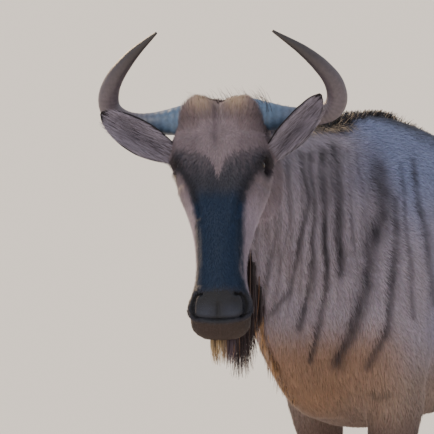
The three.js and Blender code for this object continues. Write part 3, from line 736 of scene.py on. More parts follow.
def face_colour(p):
    s, h, f = to_head(p).T
    away = np.abs(s)
    face = mix(all_over(FACE["brow"], len(p)), FACE["cheek"], step(h, 150, 230))
    face = face * (1 + 0.1 * noise(p, 12, 6)[:, None])
    tan = bump(away - 34, 30) * (1 - step(h, 2, 40)) * step(f, -90, -50)
    face = mix(face, FACE["tan"], tan * 0.8)
    face = mix(face, FACE["parting"], bump(s + 6, 5) * step(h, 0, 16) * (1 - step(h, 70, 100)) * 0.6)
    edge = np.interp(h, *MASK_EDGE) + 4 * noise(p, 10, 9)
    ragged = noise(p * [1, 1, 0.4], 4, 9)
    mask = step(h - np.interp(away, *MASK_TOP) + 7 * ragged, -8, 12) * (1 - step(away, edge - 6, edge + 6))
    mask = mask * np.where(h < 160, step(f, -95, -70), step(f, -50, -38))
    mask = mask * (1 - 0.25 * (1 - step(h, 110, 165)) * (1 + ragged))
    # Below the eyes the mask turns to the bridge's black, with a painted blue reflection of the sky.
    face = mix(face, mix(all_over(FACE["mask"], len(p)), FACE["bridge"], step(h, 165, 205)), mask)
    # Painted shade in the fold that runs from each eye down beside the bridge.
    crease = line_distance(np.column_stack([away, h]), [(88, 112), (66, 150), (47, 196)])
    face = mix(face, FACE["crease"], bump(crease, 8) * step(f, -75, -50) * 0.8)
    from_eye = np.hypot(h - EYE[1], (f - EYE[2]) * 0.7)
    face = mix(face, FACE["lids"], (1 - step(from_eye, 15, 34)) * (away > 50) * 0.9)
    muzzle = step(h + 5 * ragged, 368, 396) * step(f, -118, -95)
    face = mix(face, FACE["muzzle"], muzzle * 0.95)
    face = mix(face, FACE["jaw"], step(-f, 95, 150) * step(h, 240, 330) * 0.8)
    return mix(face, FACE["chin"], step(below_mouth(h, f), 2, 16) * step(h, 400, 420) * 0.85)


def nose_pad(p):
    """How much a place belongs to the bare, wet pad between the nostrils."""
    s, h, f = to_head(p).T
    rounded = (np.abs(s) / 50) ** 2.6 + (np.abs(h - 418) / 35) ** 2.6
    return (1 - step(rounded, 0.7, 1.05)) * step(f, -42, -28)


print("shades of the face:", len(FACE))

# %% [markdown]
# The stripes give the brindled gnu its name. Each has its own course, breadth and strength,
# measured across the body and in height, and noise makes it ragged, uneven and patchy, as
# the hairs of two colours mix along its edge.

# %% Stripes
STRIPES = [  # half width, strength, then its course as (measure across the stripes, height)
    (4, 0.6, (-408, 1225), (-401, 1067), (-422, 956)),
    (3.5, 0.5, (-384, 1225), (-372, 1090), (-395, 985)),
    (5, 0.85, (-356, 1225), (-334, 1132), (-370, 946), (-410, 896)),
    (5.5, 0.9, (-338, 1222), (-321, 1083), (-334, 930), (-355, 859)),
    (6.5, 0.95, (-310, 1225), (-307, 1154), (-300, 1063), (-300, 929), (-328, 795)),
    (10, 1.0, (-287, 1228), (-273, 1107), (-270, 975)),
    (3.5, 0.55, (-258, 1222), (-247, 1080), (-236, 980)),
    (3.5, 0.45, (-236, 1215), (-222, 1100), (-230, 1030)),
    (19, 1.0, (-192, 1175), (-181, 1093), (-212, 1013)),
    (12, 1.0, (-212, 1013), (-216, 946), (-248, 843), (-274, 790)),
    (8, 0.95, (-158, 1120), (-153, 1066), (-164, 923), (-172, 852), (-206, 782)),
    (5, 0.7, (-143, 1190), (-132, 1058), (-122, 967), (-118, 879)),
    (7, 0.85, (-116, 1195), (-105, 1101), (-86, 1013), (-73, 902)),
    (7, 0.5, (-50, 1160), (-38, 1020), (-20, 900)),
    (7, 0.4, (0, 1150), (12, 1010), (25, 900)),
    (7, 0.3, (55, 1145), (65, 1000)),
    (7, 0.2, (110, 1140), (122, 1000))]


def stripes(p, across):
    """How dark the stripes are at each place."""
    place = np.column_stack([across, p[:, 2]])
    stripe = np.zeros(len(p))
    for number, (half, strength, *course) in enumerate(STRIPES):
        wide = half * (1.2 + 0.45 * noise(p, 45, 30 + number))
        patchy = 0.82 + 0.22 * noise(p, 38, 60 + number)
        stripe = np.maximum(stripe, strength * patchy * bump(line_distance(place, course), wide))
    return stripe


print("stripes on each side:", len(STRIPES))

# %% [markdown]
# The rest of the coat shades from the flank's warm grey to blue-grey on the shoulder, tan on
# the chest and brown on the belly and the legs. The blue-grey is partly the coat's own tone and
# partly painted skylight on the shaded upper body. A dark band of hair follows the crest of the
# back from the mane to the tail, widened behind the withers with painted shade.

# %% Colours of the coat
COAT = palette(
    flank="958b97", shoulder="747c9c", ribs="8a8498", chest="86705f", brisket="8b6a53", belly="4a3c36",
    upper_blade="555b78", fold="4a3f45", stripe="241e26", armpit="2c2322", spine="24232b",
    tail="2a2726", leg="5f4b45", foot="4a3b33")
CREST = ([-960, -690, -340, -100, 220, 480, 625], [1300, 1275, 1284, 1218, 1160, 1135, 1060])  # y, z
CREST_MIDDLE = ([-960, -790, -600], [70, 26, 0])  # y, x: the crest bends with the neck


def coat_colour(p):
    """The linear colour of the coat at places on the body."""
    x, y, z = p.T
    _, h, f = to_head(p).T
    colour = all_over(COAT["flank"], len(p))
    # The blue-grey on the shoulder is partly the coat's own tone and partly painted skylight on the shaded
    # upper body.
    colour = mix(colour, COAT["shoulder"], step(z, 960, 1180) * step(y, -560, -420))
    colour = mix(colour, COAT["ribs"], step(y, -480, -380) * (1 - step(z, 960, 1100)))
    colour = mix(colour, COAT["chest"], step(-z, -860, -720) * 0.8)
    colour = mix(colour, COAT["brisket"], step(-z, -900, -790) * step(-y, 480, 600) * 0.85)
    colour = mix(colour, COAT["belly"], step(-z, -720, -670) * step(y, -330, -200) * 0.8)
    upper_blade = bump(np.hypot(along_stripes(p) + 215, (z - 1185) * 0.7), 45)
    colour = mix(colour, COAT["upper_blade"], upper_blade * 0.6)
    fine = noise(p * [1, 1, 0.12], 6, 4)  # long thin flecks, as the hair lies
    across = along_stripes(p) + 1.6 * fine + 1.6 * noise(p, 24, 8) + 3 * noise(p, 70, 9)
    neck = (1 - step(across, -300, -215)) * step(z, 860, 960) * (1 - step(z, 1215, 1250))
    # Painted shade in the folds of the neck's skin, as fine dark lines between the stripes.
    between_folds = (0.5 + 0.5 * np.sin(across / 4.0 + noise(p, 90, 3) * 1.6)) ** 2
    colour = mix(colour, COAT["fold"], neck * between_folds * 0.42)
    colour = mix(colour, COAT["stripe"], stripes(p, across) * (0.94 + 0.2 * fine))
    colour = colour * (1 + 0.1 * fine[:, None])
    # Painted shade in the crease of the armpit, behind the elbow.
    armpit = line_distance(np.column_stack([across, z]), [(-202, 722), (-182, 716), (-164, 721)])
    colour = mix(colour, COAT["armpit"], bump(armpit, 7) * (0.4 + 0.3 * fine) * (y < -420))
    aside = np.abs(x - np.interp(y, *CREST_MIDDLE)) + 14 * fine
    # The band is dark hair along the crest. Behind the withers it widens into painted shade over the back.
    band = 36 + 78 * step(y, -430, -230) * (1 - step(y, -120, 200))
    spine = (1 - step(aside, 0.3 * band, 1.3 * band)) * step(z - np.interp(y, *CREST), -80, -35)
    colour = mix(colour, COAT["spine"], spine * 0.92)
    colour = mix(colour, COAT["tail"], step(y, 630, 650) * (1 - step(z, 900, 1000)))
    leg = 1 - step(z, 600, 720)
    colour = mix(colour, COAT["leg"], leg * 0.9)
    colour = mix(colour, COAT["foot"], leg * (1 - step(z, 90, 200)) * 0.7)
    return mix(colour, face_colour(p), step(f, -175 - 0.2 * h, -135 - 0.2 * h) * (h > -60) * (h < 520))


print("shades of the body:", len(COAT))

# %% [markdown]
# The skin keeps its colour on each vertex, a little darker than the hair above it. The pad
# of the nose is bare: darker still, with two patches of painted sheen, and painted shade in
# its groove and in the nostril pits.

# %% Paint the skin
NOSE = palette(pad="15161d", damp="2c3040", groove="15151a", pit="060608")
UNDER_HAIR = 0.8  # the skin is this much of the hair's colour


def paint(mesh, colours):
    """Stores a linear colour on each vertex."""
    layer = mesh.color_attributes.new("coat_colour", "FLOAT_COLOR", "POINT")
    rgba = np.ones((len(colours), 4), np.float32)
    rgba[:, :3] = colours
    layer.data.foreach_set("color", rgba.ravel())


p = vertices_of(skin_mesh)
s, h, f = to_head(p).T
pad = nose_pad(p)
colours = mix(coat_colour(p) * UNDER_HAIR, NOSE["pad"], pad)
# Painted sheen: two lighter bluish patches low on the pad, where its wet surface catches the light.
colours = mix(colours, NOSE["damp"], pad * bump(np.hypot((np.abs(s) - 25) / 1.3, h - 429), 15) * 0.7)
# Painted shade in the groove down the middle of the pad.
colours = mix(colours, NOSE["groove"], pad * bump(s + 2, 3) * step(h, 400, 416) * 0.8)
pit = line_distance(np.column_stack([np.abs(s), h]), NOSTRIL)
# Painted shade inside the nostril pits.
colours = mix(colours, NOSE["pit"], bump(pit, pit_width(h)) * step(f, -70, -55))
paint(skin_mesh, colours)
bare = skin_mesh.attributes.new("bare", "FLOAT", "POINT")
bare.data.foreach_set("value", pad.astype(np.float32))
print("mean linear colour of the skin:", colours.mean(0).round(3))

# %% [markdown]
# ## Camera, floor and light
# The photograph was taken through a long lens from the animal's front left, at about the
# height of its chest. A long lens from far away keeps near and far parts of the body in
# their true proportion, so the camera stands well off here too.

# %% Camera
scene = bpy.context.scene
AZIMUTH, ELEVATION, DISTANCE = math.radians(35), math.radians(2.5), 17.0
LENS, SENSOR = 699, 36
PICTURE_MIDDLE = np.array([130, -1093, 1101.5])  # mm, the place that the camera looks at
aim = Vector((PICTURE_MIDDLE + offset) / 1000)


def direction(azimuth, elevation):
    """From the animal towards a place round it: azimuth 0 is in front, 90 its left side."""
    return Vector((math.sin(azimuth) * math.cos(elevation), -math.cos(azimuth) * math.cos(elevation),
                   math.sin(elevation)))


back = direction(AZIMUTH, ELEVATION)
camera = bpy.data.objects.new("camera", bpy.data.cameras.new("camera"))
camera.data.sensor_width, camera.data.lens = SENSOR, LENS
camera.data.clip_start, camera.data.clip_end = 0.5, 900
camera.location = aim + back * DISTANCE
camera.rotation_mode = "QUATERNION"
camera.rotation_quaternion = (-back).to_track_quat("-Z", "Y")
scene.collection.objects.link(camera)
scene.camera = camera
print("camera at", tuple(round(v, 2) for v in camera.location))

# %% [markdown]
# The floor is one plain square that is far wider than the picture. Light comes from all
# round, as under a bright sky, with a weak broad key from the front and a warm rim from
# behind that lights the edges of the hair. Suns are used because their light doesn't change
# with distance on so large an animal.

# %% Floor and light
FLOOR_HALF = 400.0
bm = bmesh.new()
bmesh.ops.create_grid(bm, x_segments=1, y_segments=1, size=FLOOR_HALF)
floor_mesh = bpy.data.meshes.new("floor")
bm.to_mesh(floor_mesh)
bm.free()
floor = bpy.data.objects.new("floor", floor_mesh)
scene.collection.objects.link(floor)

world = bpy.data.worlds.new("studio")
scene.world = world
world.use_nodes = True
world.node_tree.nodes["Background"].inputs[0].default_value = (*linear("dfe3ea"), 1)
world.node_tree.nodes["Background"].inputs[1].default_value = 1.0


def sun(name, azimuth, elevation, strength, colour, softness):
    light = bpy.data.lights.new(name, "SUN")
    light.energy, light.color, light.angle = strength, linear(colour), math.radians(softness)
    lamp = bpy.data.objects.new(name, light)
    lamp.rotation_mode = "QUATERNION"
    towards_lamp = direction(math.radians(azimuth), math.radians(elevation))
    lamp.rotation_quaternion = towards_lamp.to_track_quat("Z", "Y")
    scene.collection.objects.link(lamp)


sun("key", 5, 42, 1.3, "fff6ea", 30)
sun("rim", 248, 26, 3.4, "ffdcae", 10)

# %% [markdown]
# ## Finishes
# Hair, bare skin, horn, hoof and eye each scatter light differently. One helper adds a node
# with its settings and links, and every material is built with it. Colours come from the
# vertices, so that one material serves every tone of the coat.

# %% Node helper
def node(tree, kind, links=None, **settings):
    """Adds a node; settings are properties or input values, links are input sockets."""
    made = tree.nodes.new(kind)
    for key, value in settings.items():
        if hasattr(made, key):
            setattr(made, key, value)
        else:
            made.inputs[key.replace("_", " ")].default_value = value
    for key, source in (links or {}).items():
        tree.links.new(source, made.inputs[key])
    return made


def material(name):
    made = bpy.data.materials.new(name)
    made.use_nodes = True
    made.node_tree.nodes.clear()
    return made, made.node_tree


def close_material(tree, surface):
    node(tree, "ShaderNodeOutputMaterial", {"Surface": surface.outputs[0]})


def shaded(tree, pattern, darkest, lightest):
    """The vertex colour, made darker and lighter by a pattern."""
    colour = node(tree, "ShaderNodeAttribute", attribute_name="coat_colour")
    shade = node(tree, "ShaderNodeMapRange", {"Value": pattern}, To_Min=darkest, To_Max=lightest)
    return node(tree, "ShaderNodeVectorMath", {0: colour.outputs["Color"], "Scale": shade.outputs[0]},
                operation="SCALE").outputs[0]


print("materials so far:", len(bpy.data.materials))

# %% [markdown]
# The hide is grown skin with short hair lying on it: dull, with no mirror shine, and lined
# with hairs too thin to model. They are drawn as streaks about 1.5 mm apart, coarser than
# real hair, so that they show. The pad of the nose is bare and damp, so it is smoother, and
# pebbled with grains about 2.4 mm wide.

# %% Hide
STREAKS_PER_MM, PEBBLES_PER_MM = 0.65, 0.42


def hide_material():
    made, t = material("hide under short hair")
    bare = node(t, "ShaderNodeAttribute", attribute_name="bare")
    place = node(t, "ShaderNodeTexCoord")
    stretched = node(t, "ShaderNodeMapping", {"Vector": place.outputs["Object"]}, Scale=(1.0, 1.0, 0.25))
    streaks = node(t, "ShaderNodeTexNoise", {"Vector": stretched.outputs[0]},
                   Scale=1000 * STREAKS_PER_MM, Detail=2.0)
    pebbles = node(t, "ShaderNodeTexVoronoi", {"Vector": place.outputs["Object"]},
                   Scale=1000 * PEBBLES_PER_MM)
    height = node(t, "ShaderNodeMix", {"Factor": bare.outputs["Fac"], "A": streaks.outputs["Fac"],
                                       "B": pebbles.outputs["Distance"]}, data_type="FLOAT")
    relief = node(t, "ShaderNodeBump", {"Height": height.outputs[0]}, Strength=0.5, Distance=0.002)
    rough = node(t, "ShaderNodeMapRange", {"Value": bare.outputs["Fac"]}, To_Min=0.85, To_Max=0.5)
    close_material(t, node(t, "ShaderNodeBsdfPrincipled", {
        "Base Color": shaded(t, streaks.outputs["Fac"], 0.75, 1.2), "Roughness": rough.outputs[0],
        "Normal": relief.outputs[0]}, Specular_IOR_Level=0.35))
    return made


skin.data.materials.append(hide_material())
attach(skin, "root")
FLESH_NODES = ["torso", "neck", "head", "tail_dock"] + [f"leg_{k}" for k in STRIDE]
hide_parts(*FLESH_NODES)
print("the skin stands for", len(FLESH_NODES), "nodes")

# %% [markdown]
# The floor is matt painted board. Its gloss wanders a little over a third of a metre, which
# keeps a wide plain floor from looking like a flat colour.

# %% Floor
CLOUDS_PER_MM = 0.003
floor_material, t = material("matt pale floor")
speckle = node(t, "ShaderNodeTexNoise", Scale=1000 * CLOUDS_PER_MM)
tone = node(t, "ShaderNodeMapRange", {"Value": speckle.outputs["Fac"]}, To_Min=0.84, To_Max=0.94)
close_material(t, node(t, "ShaderNodeBsdfPrincipled", {"Roughness": tone.outputs[0]},
                       Base_Color=(*linear("e4e0da"), 1)))
floor.data.materials.append(floor_material)
print("floor, metres wide:", 2 * FLOOR_HALF)

# %% [markdown]
# ## Horns
# A horn is a sheath of keratin over bone. It grows from its root, so faint rings cross it
# and fade towards the tip, which is rubbed smooth and dark. A swept bar with its radius
# changed ring by ring gives that, where a curve with a bevel would be too even. Keratin
# refracts at about 1.54 and is satin. Its fibres are much finer than the picture can show,
# so the mottling that they give is drawn 6 mm wide, and 5 mm on a hoof.

# %% Horn keratin
def mottled_material(name, size, roughness, strength, squash=(1, 1, 1)):
    """Keratin mottled over size millimetres, with a satin, lightly uneven surface."""
    made, t = material(name)
    place = node(t, "ShaderNodeTexCoord")
    stretched = node(t, "ShaderNodeMapping", {"Vector": place.outputs["Object"]}, Scale=squash)
    mottle = node(t, "ShaderNodeTexNoise", {"Vector": stretched.outputs[0]}, Scale=1000 / size, Detail=4.0)
    pattern = mottle.outputs["Fac"]
    rough = node(t, "ShaderNodeMapRange", {"Value": pattern},
                 To_Min=roughness - 0.1, To_Max=roughness + 0.15)
    relief = node(t, "ShaderNodeBump", {"Height": pattern}, Strength=strength, Distance=0.001)
    close_material(t, node(t, "ShaderNodeBsdfPrincipled", {
        "Base Color": shaded(t, pattern, 0.6, 1.4), "Roughness": rough.outputs[0],
        "Normal": relief.outputs[0]}, IOR=1.54))
    return made


HORN_MOTTLE, HOOF_MOTTLE = 6.0, 5.0  # mm
horn_keratin = mottled_material("horn keratin", HORN_MOTTLE, 0.42, 0.5)
print("mottling of the horn, mm:", HORN_MOTTLE, "and of a hoof:", HOOF_MOTTLE)

# %% Horns
HORN_RINGS, HORN_SIDES = 190, 36
RING_HEIGHT, UNEVEN = 0.008, 0.02  # of the radius
KERATIN = palette(root="4f6580", middle="5b5158", tip="2f2a2b")


def horn_path(side, rise, bow):
    path = []
    for s, h, f, r in HORN:
        inward = bow * math.sin(math.pi * min(h, 0) / HORN[-1][1])
        across = side * (s - inward) + min(0, h / 20)
        path.append((*on_head((across, h - rise * min(max(h / 20, 0), 1), f)), r))
    return path


for hand, side, rise, bow in (("left", 1, LEFT_RISE, 0), ("right", -1, 0, RIGHT_BOW)):
    rings, t = sweep(horn_path(side, rise, bow), HORN_RINGS, HORN_SIDES)
    centre = rings.mean(1, keepdims=True)
    growth = RING_HEIGHT * np.sin(t * 210 + 2 * np.sin(t * 17))
    growth = growth * (1 - step(t, 0.45, 0.8)) * step(t, 0.02, 0.1)
    rough = noise(rings.reshape(-1, 3), 14, 5 + side).reshape(rings.shape[:2]) * UNEVEN
    rings = centre + (rings - centre) * (1 + growth[:, None] + rough)[..., None]
    horn = make_mesh(f"horn_{hand}_sheath", *loft(rings))
    along = np.append(np.repeat(t, HORN_SIDES), [0, 1])
    colours = mix(all_over(KERATIN["root"], len(along)), KERATIN["middle"], step(along, 0.14, 0.4))
    colours = mix(colours, KERATIN["tip"], step(along, 0.6, 0.97))
    ridge = np.append(np.repeat(growth, HORN_SIDES), [0, 0]) / RING_HEIGHT
    paint(horn.data, colours * (1 + 0.12 * ridge[:, None]))
    horn.data.materials.append(horn_keratin)
    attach(horn, "root")
    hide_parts(f"horn_{hand}")
    print(horn.name, len(horn.data.polygons), "faces")

# %% [markdown]
# ## Hooves
# Each foot has two claws of dark hoof horn with rings of growth round them. They are small
# lofts with one flat side towards the cleft and a flat sole. A box with rounded edges would
# miss the point of the toe and the slope of the wall.

# %% Hooves
CLAW = [(0, 60, 36, 26), (10, 59, 37, 26), (30, 49, 37, 24), (56, 31, 33, 18.5)]  # z, fore, aft, width
CLAW_SIDES = 30
CLEFT = 2  # half of the gap between the claws
SOLE_EDGE = 0.97
HOOF = palette(wall="3a332f", worn="1f1b1a")
hoof_horn = mottled_material("hoof horn", HOOF_MOTTLE, 0.45, 0.4, (1, 1, 2.5))


def claw(x, y, side):
    rings = []
    for z, fore, aft, wide in between(CLAW, np.concatenate([[0, 1.2], np.linspace(3, 56, 22)])):
        inner, middle = x + side * CLEFT, x + side * (CLEFT + wide * 0.62)
        o = outline(CLAW_SIDES, wide, wide, aft, fore, 2.1, 1.7)
        lean = np.where(o[:, 1] < 0, side * (o[:, 1] / fore) ** 2 * -wide * 0.25, 0)
        growth = 1 + 0.012 * math.sin(z * 1.1)
        px = middle + o[:, 0] * 0.72 * growth + lean
        px = np.maximum(px, inner) if side > 0 else np.minimum(px, inner)
        rings.append(np.column_stack([px, y + o[:, 1] * growth, np.full(CLAW_SIDES, z)]))
    rings = np.array(rings)
    middle = rings[0].mean(0)[:2]
    rings[0, :, :2] = middle + (rings[0, :, :2] - middle) * SOLE_EDGE
    return loft(rings)


for name, stride in STRIDE.items():
    rows, side = leg_of(name)
    for place, turn in (("inner", -side), ("outer", side)):
        points, faces = claw(side * rows[0][2], rows[0][1] + stride, turn)
        hoof = make_mesh(f"hoof_{name}_{place}_claw", points, faces)
        wall = all_over(HOOF["wall"], len(points))
        # The wall is darker towards the sole.
        paint(hoof.data, mix(wall, HOOF["worn"], 1 - step(points[:, 2], 4, 40)))
        hoof.data.materials.append(hoof_horn)
        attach(hoof, "root")
        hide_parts(f"hoof_{name}_{place}")
print("claws:", 2 * len(STRIDE))

# %% [markdown]
# ## Eyes
# The eyeball is wet and dark, with a level slit of a pupil. It sits behind the carved lids.
# A real cornea refracts at about 1.38. Here it mirrors a bright studio all round, so its
# index is taken lower, and a thin clear coat leaves one small wet glint.

# %% Eyes
IRIS = palette(white="2f2622", iris="2a170c", pupil="020203")
eye_wet, t = material("wet dark eye")
colour = node(t, "ShaderNodeAttribute", attribute_name="coat_colour")
close_material(t, node(t, "ShaderNodeBsdfPrincipled", {"Base Color": colour.outputs["Color"]},
                       Roughness=0.08, IOR=1.27, Coat_Weight=0.15, Coat_Roughness=0.03))
for hand, side in (("left", 1), ("right", -1)):
    middle = np.array([side * EYE[0], EYE[1], EYE[2]])
    points, faces = ball(on_head(middle), (EYE_RADIUS - 0.2,) * 3, HEAD_AXES, 40, 48)
    eye = make_mesh(f"eye_{hand}_ball", points, faces)
    _, h, f = (to_head(points) - middle).T
    colours = all_over(IRIS["white"], len(points))
    colours = mix(colours, IRIS["iris"], 1 - step(np.hypot(h, f), 11.5, 13))
    colours = mix(colours, IRIS["pupil"], 1 - step(np.hypot(h / 4.5, f / 9), 0.9, 1.1))
    paint(eye.data, colours)
    eye.data.materials.append(eye_wet)
    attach(eye, "root")
    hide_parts(f"eye_{hand}")
print("eyes, mm across:", 2 * EYE_RADIUS)

# %% [markdown]
# ## Ears
# A thin cupped leaf, dark along its rim and pale inside. Its skin is the same hide as the
# body's. Cup and back are one closed shell, so that the ear has a real thickness at its rim.

# %% Ears
EAR_ACROSS = 28
LEAF = palette(back="6b6163", cup="554e5a", pale="8f8898", deep="2a262e", rim="1f1b20")
ear_hide = skin.data.materials[0]
ear_shells = {}
for hand in EARS:
    rings, along, front, wide = ear_rings(hand, 80, EAR_ACROSS)
    points, faces = loft(rings)
    points = points + 1.2 * noise(points, 16, 11)[:, None] * front
    ear = make_mesh(f"ear_{hand}_shell", points, faces)
    k = np.arange(rings.shape[1])
    q = np.where(k <= EAR_ACROSS, k, 2 * EAR_ACROSS + 1 - k) / EAR_ACROSS * 2 - 1
    inside = np.append(np.tile(k > EAR_ACROSS, len(rings)), [False, False])
    aside = np.append(np.tile(q, len(rings)), [0, 0])
    t = np.append(np.repeat(np.linspace(0, 1, len(rings)), len(k)), [0, 1])
    streak = noise(np.column_stack([aside * 9, t * 1.6, t * 0]), 1, 12)
    rim = np.abs(aside)
    cup = mix(all_over(LEAF["cup"], len(points)), LEAF["pale"], step(rim, 0.2, 0.7) + 0.25 * streak)
    # Painted shade low in the hollow of the cup, where the ear leads in.
    cup = mix(cup, LEAF["deep"], bump(rim, 0.14) * step(t, 0.15, 0.4) * 0.7)
    colours = np.where(inside[:, None], cup, all_over(LEAF["back"], len(points)))
    colours = mix(colours, LEAF["rim"], np.maximum(step(rim, 0.84, 0.97), step(t, 0.86, 0.97)))
    paint(ear.data, colours)
    ear.data.materials.append(ear_hide)
    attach(ear, "root")
    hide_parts(f"ear_{hand}")
    ear_shells[hand] = (rings, along, front, wide)
    print(ear.name, len(ear.data.polygons), "faces")

# %% [markdown]
# ## The short coat
# Hair a centimetre or two long lies flat and overlaps like thatch. Blender's hair curves
# would draw it, but they aren't a mesh that can be handed on, and millions of hairs are out
# of reach. So each blade here stands for a small tuft: three triangles, thin, lying along
# the body in the hair's own direction. They break up the outline from every side, and the
# streaks of the hide do the rest. The skin gets a flat map first, for the roots to point to.

# %% Unwrap the skin
def unwrap(thing):
    """A flat map of a mesh with no overlaps, for the hair's places."""
    thing.data.uv_layers.new(name="OFBake")
    bpy.context.view_layer.objects.active = thing
    thing.select_set(True)
    bpy.ops.object.mode_set(mode="EDIT")
    bpy.ops.mesh.select_all(action="SELECT")
    bpy.ops.uv.smart_project(angle_limit=math.radians(66), island_margin=0.001)
    bpy.ops.object.mode_set(mode="OBJECT")
    thing.select_set(False)


unwrap(skin)
skin_mesh.calc_loop_triangles()
tri_count = len(skin_mesh.loop_triangles)
tri_points, tri_loops = np.empty(tri_count * 3, np.int32), np.empty(tri_count * 3, np.int32)
skin_mesh.loop_triangles.foreach_get("vertices", tri_points)
skin_mesh.loop_triangles.foreach_get("loops", tri_loops)
tri_points, tri_loops = tri_points.reshape(-1, 3), tri_loops.reshape(-1, 3)
skin_uv = np.empty(len(skin_mesh.loops) * 2, np.float32)
skin_mesh.uv_layers["OFBake"].data.foreach_get("uv", skin_uv)
skin_uv = skin_uv.reshape(-1, 2)
skin_at, skin_normal = vertices_of(skin_mesh), normals_of(skin_mesh)
corner = skin_at[tri_points]
tri_area = np.linalg.norm(np.cross(corner[:, 1] - corner[:, 0], corner[:, 2] - corner[:, 0]), axis=1) / 2
tri_middle = corner.mean(1)
print("skin area, square metres:", round(tri_area.sum() / 1e6, 2), "triangles:", tri_count)

# %% [markdown]
# On the trunk the hair lies back and down, on the legs straight down. From a line above the
# eyes it runs down the face, and up to the horns. It is longest on the belly and in front of the
# shoulder, and shortest on the muzzle and the legs. The head gets the most tufts for its
# size, because its hair is finest and it is looked at first.

# %% Where the hair grows and lies
def unit(v):
    return v / np.maximum(np.linalg.norm(v, axis=1, keepdims=True), 1e-9)


def hair_flow(p):
    """The way that the hair lies at each place."""
    _, y, z = p.T
    s, h, f = to_head(p).T
    lie = mix(np.tile([0.0, 0.72, -0.6], (len(p), 1)), np.array([0.0, 0.35, -0.95]), step(-y, 460, 640))
    lie = mix(lie, np.array([0.0, 0.12, -1.0]), 1 - step(z, 640, 800))
    down_face, under_jaw = DOWN * 0.9 - FORWARD * 0.25, DOWN * 0.6 - FORWARD * 0.75
    face = mix(np.tile(down_face, (len(p), 1)), under_jaw, step(-f, 60, 130))
    face = mix(face, -DOWN * 0.8 + FORWARD * 0.2, 1 - step(h, 30, 90))
    face = face + SIDE * (np.sign(s) * 0.25 * (1 - step(h, 150, 220)))[:, None]
    lie = np.where(on_the_head(p)[:, None], face, lie)
    sway = np.stack([noise(p, 70, 21), noise(p, 70, 22), noise(p, 70, 23)], 1)
    return unit(lie + 0.22 * sway)


def hair_length(p):
    _, y, z = p.T
    _, h, f = to_head(p).T
    body = 12 + 3 * step(-y, 450, 650) + 5 * step(-z, -860, -740) * step(z, 640, 680)
    body = body * (0.55 + 0.45 * step(z, 560, 700))
    face = 8 + 6 * (1 - step(h, 15, 60)) + 7 * step(-f, 60, 120)
    face = face * (1 - 0.55 * step(h, 370, 400))
    return np.where(on_the_head(p), face, body)


def room_per_tuft(p):
    """Square millimetres of skin for one tuft."""
    y, z = p[:, 1], p[:, 2]
    body = np.where(z < LEGS_BELOW, 9, 14 - 6 * step(-y, 150, 420))
    return np.where(on_the_head(p), 4.2, body)


print("longest short hair, mm:", round(float(hair_length(tri_middle).max()), 1))

# %% [markdown]
# Roots are sown by chance, as many on each triangle as its area asks for. None grow on the
# pad of the nose, in the nostrils, on the edge of the lids or below the coronet of the hoof.

# %% Sow the roots
CORONET = 58
s, h, f = to_head(tri_middle).T
by_pit = bump(line_distance(np.column_stack([np.abs(s), h]), NOSTRIL), 6) * step(f, -75, -60)
share = tri_area / room_per_tuft(tri_middle) * (1 - np.clip(0.97 * nose_pad(tri_middle) + by_pit, 0, 1))
d = lid_distance(h, f)
on_lid_edge = (np.abs(d) < 4) & (np.abs(s) > 60)
in_opening = (d < 3) & (np.abs(s) > 55) & (np.abs(f - EYE[2]) < 24)
hairless = on_the_head(tri_middle) & (on_lid_edge | in_opening) | (tri_middle[:, 2] < CORONET)
count = rng.poisson(np.where(hairless, 0, share))
host = np.repeat(np.arange(tri_count), count)
w = rng.random((len(host), 2))
w = np.where(w.sum(1, keepdims=True) > 1, 1 - w, w)
w = np.column_stack([1 - w.sum(1), w])
root = (corner[host] * w[..., None]).sum(1)
up = unit((skin_normal[tri_points[host]] * w[..., None]).sum(1))
root_uv = (skin_uv[tri_loops[host]] * w[..., None]).sum(1)
print("tufts:", len(root))

# %% [markdown]
# Hair is keratin too, and refracts at about 1.55. A coat in soft light has little mirror
# shine and a faint sheen, so the specular level is low and the sheen slight. Long coarse
# hair is a little smoother than the short coat.

# %% Hair keratin
UV_PATCH = 0.003  # how much of the flat map one tuft covers


def hair_material(name, roughness):
    made, t = material(name)
    colour = node(t, "ShaderNodeAttribute", attribute_name="coat_colour")
    close_material(t, node(t, "ShaderNodeBsdfPrincipled", {"Base Color": colour.outputs["Color"]},
                           Roughness=roughness, IOR=1.55, Specular_IOR_Level=0.28,
                           Sheen_Weight=0.05, Sheen_Roughness=0.4))
    return made


short_hair = hair_material("short coat hair", 0.62)
long_hair = hair_material("long coarse hair", 0.5)
print("hair materials:", short_hair.name, "and", long_hair.name)

# %% [markdown]
# A mesh of some hundred thousand faces is slow to build face by face, so the points, corners
# and faces are handed to Blender as whole arrays.

# %% Hair pieces from arrays
def mesh_piece(name, points, faces_of, colours, uvs, finish):
    """A hair piece from flat arrays: quads and triangles by corner numbers."""
    corners = np.concatenate([f.ravel() for f in faces_of]).astype(np.int32)
    sizes = np.concatenate([np.full(len(f), f.shape[1]) for f in faces_of]).astype(np.int32)
    mesh = bpy.data.meshes.new(name)
    mesh.vertices.add(len(points))
    mesh.vertices.foreach_set("co", ((points + offset) / 1000).astype(np.float32).ravel())
    mesh.loops.add(len(corners))
    mesh.loops.foreach_set("vertex_index", corners)
    mesh.polygons.add(len(sizes))
    mesh.polygons.foreach_set("loop_start", np.concatenate([[0], np.cumsum(sizes)[:-1]]).astype(np.int32))
    mesh.polygons.foreach_set("loop_total", sizes)
    mesh.update(calc_edges=True)
    mesh.uv_layers.new(name="OFBake").data.foreach_set("uv", uvs[corners].astype(np.float32).ravel())
    paint(mesh, colours)
    mesh.shade_smooth()
    mesh.materials.append(finish)
    made = bpy.data.objects.new(name, mesh)
    scene.collection.objects.link(made)
    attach(made, "root")
    return made


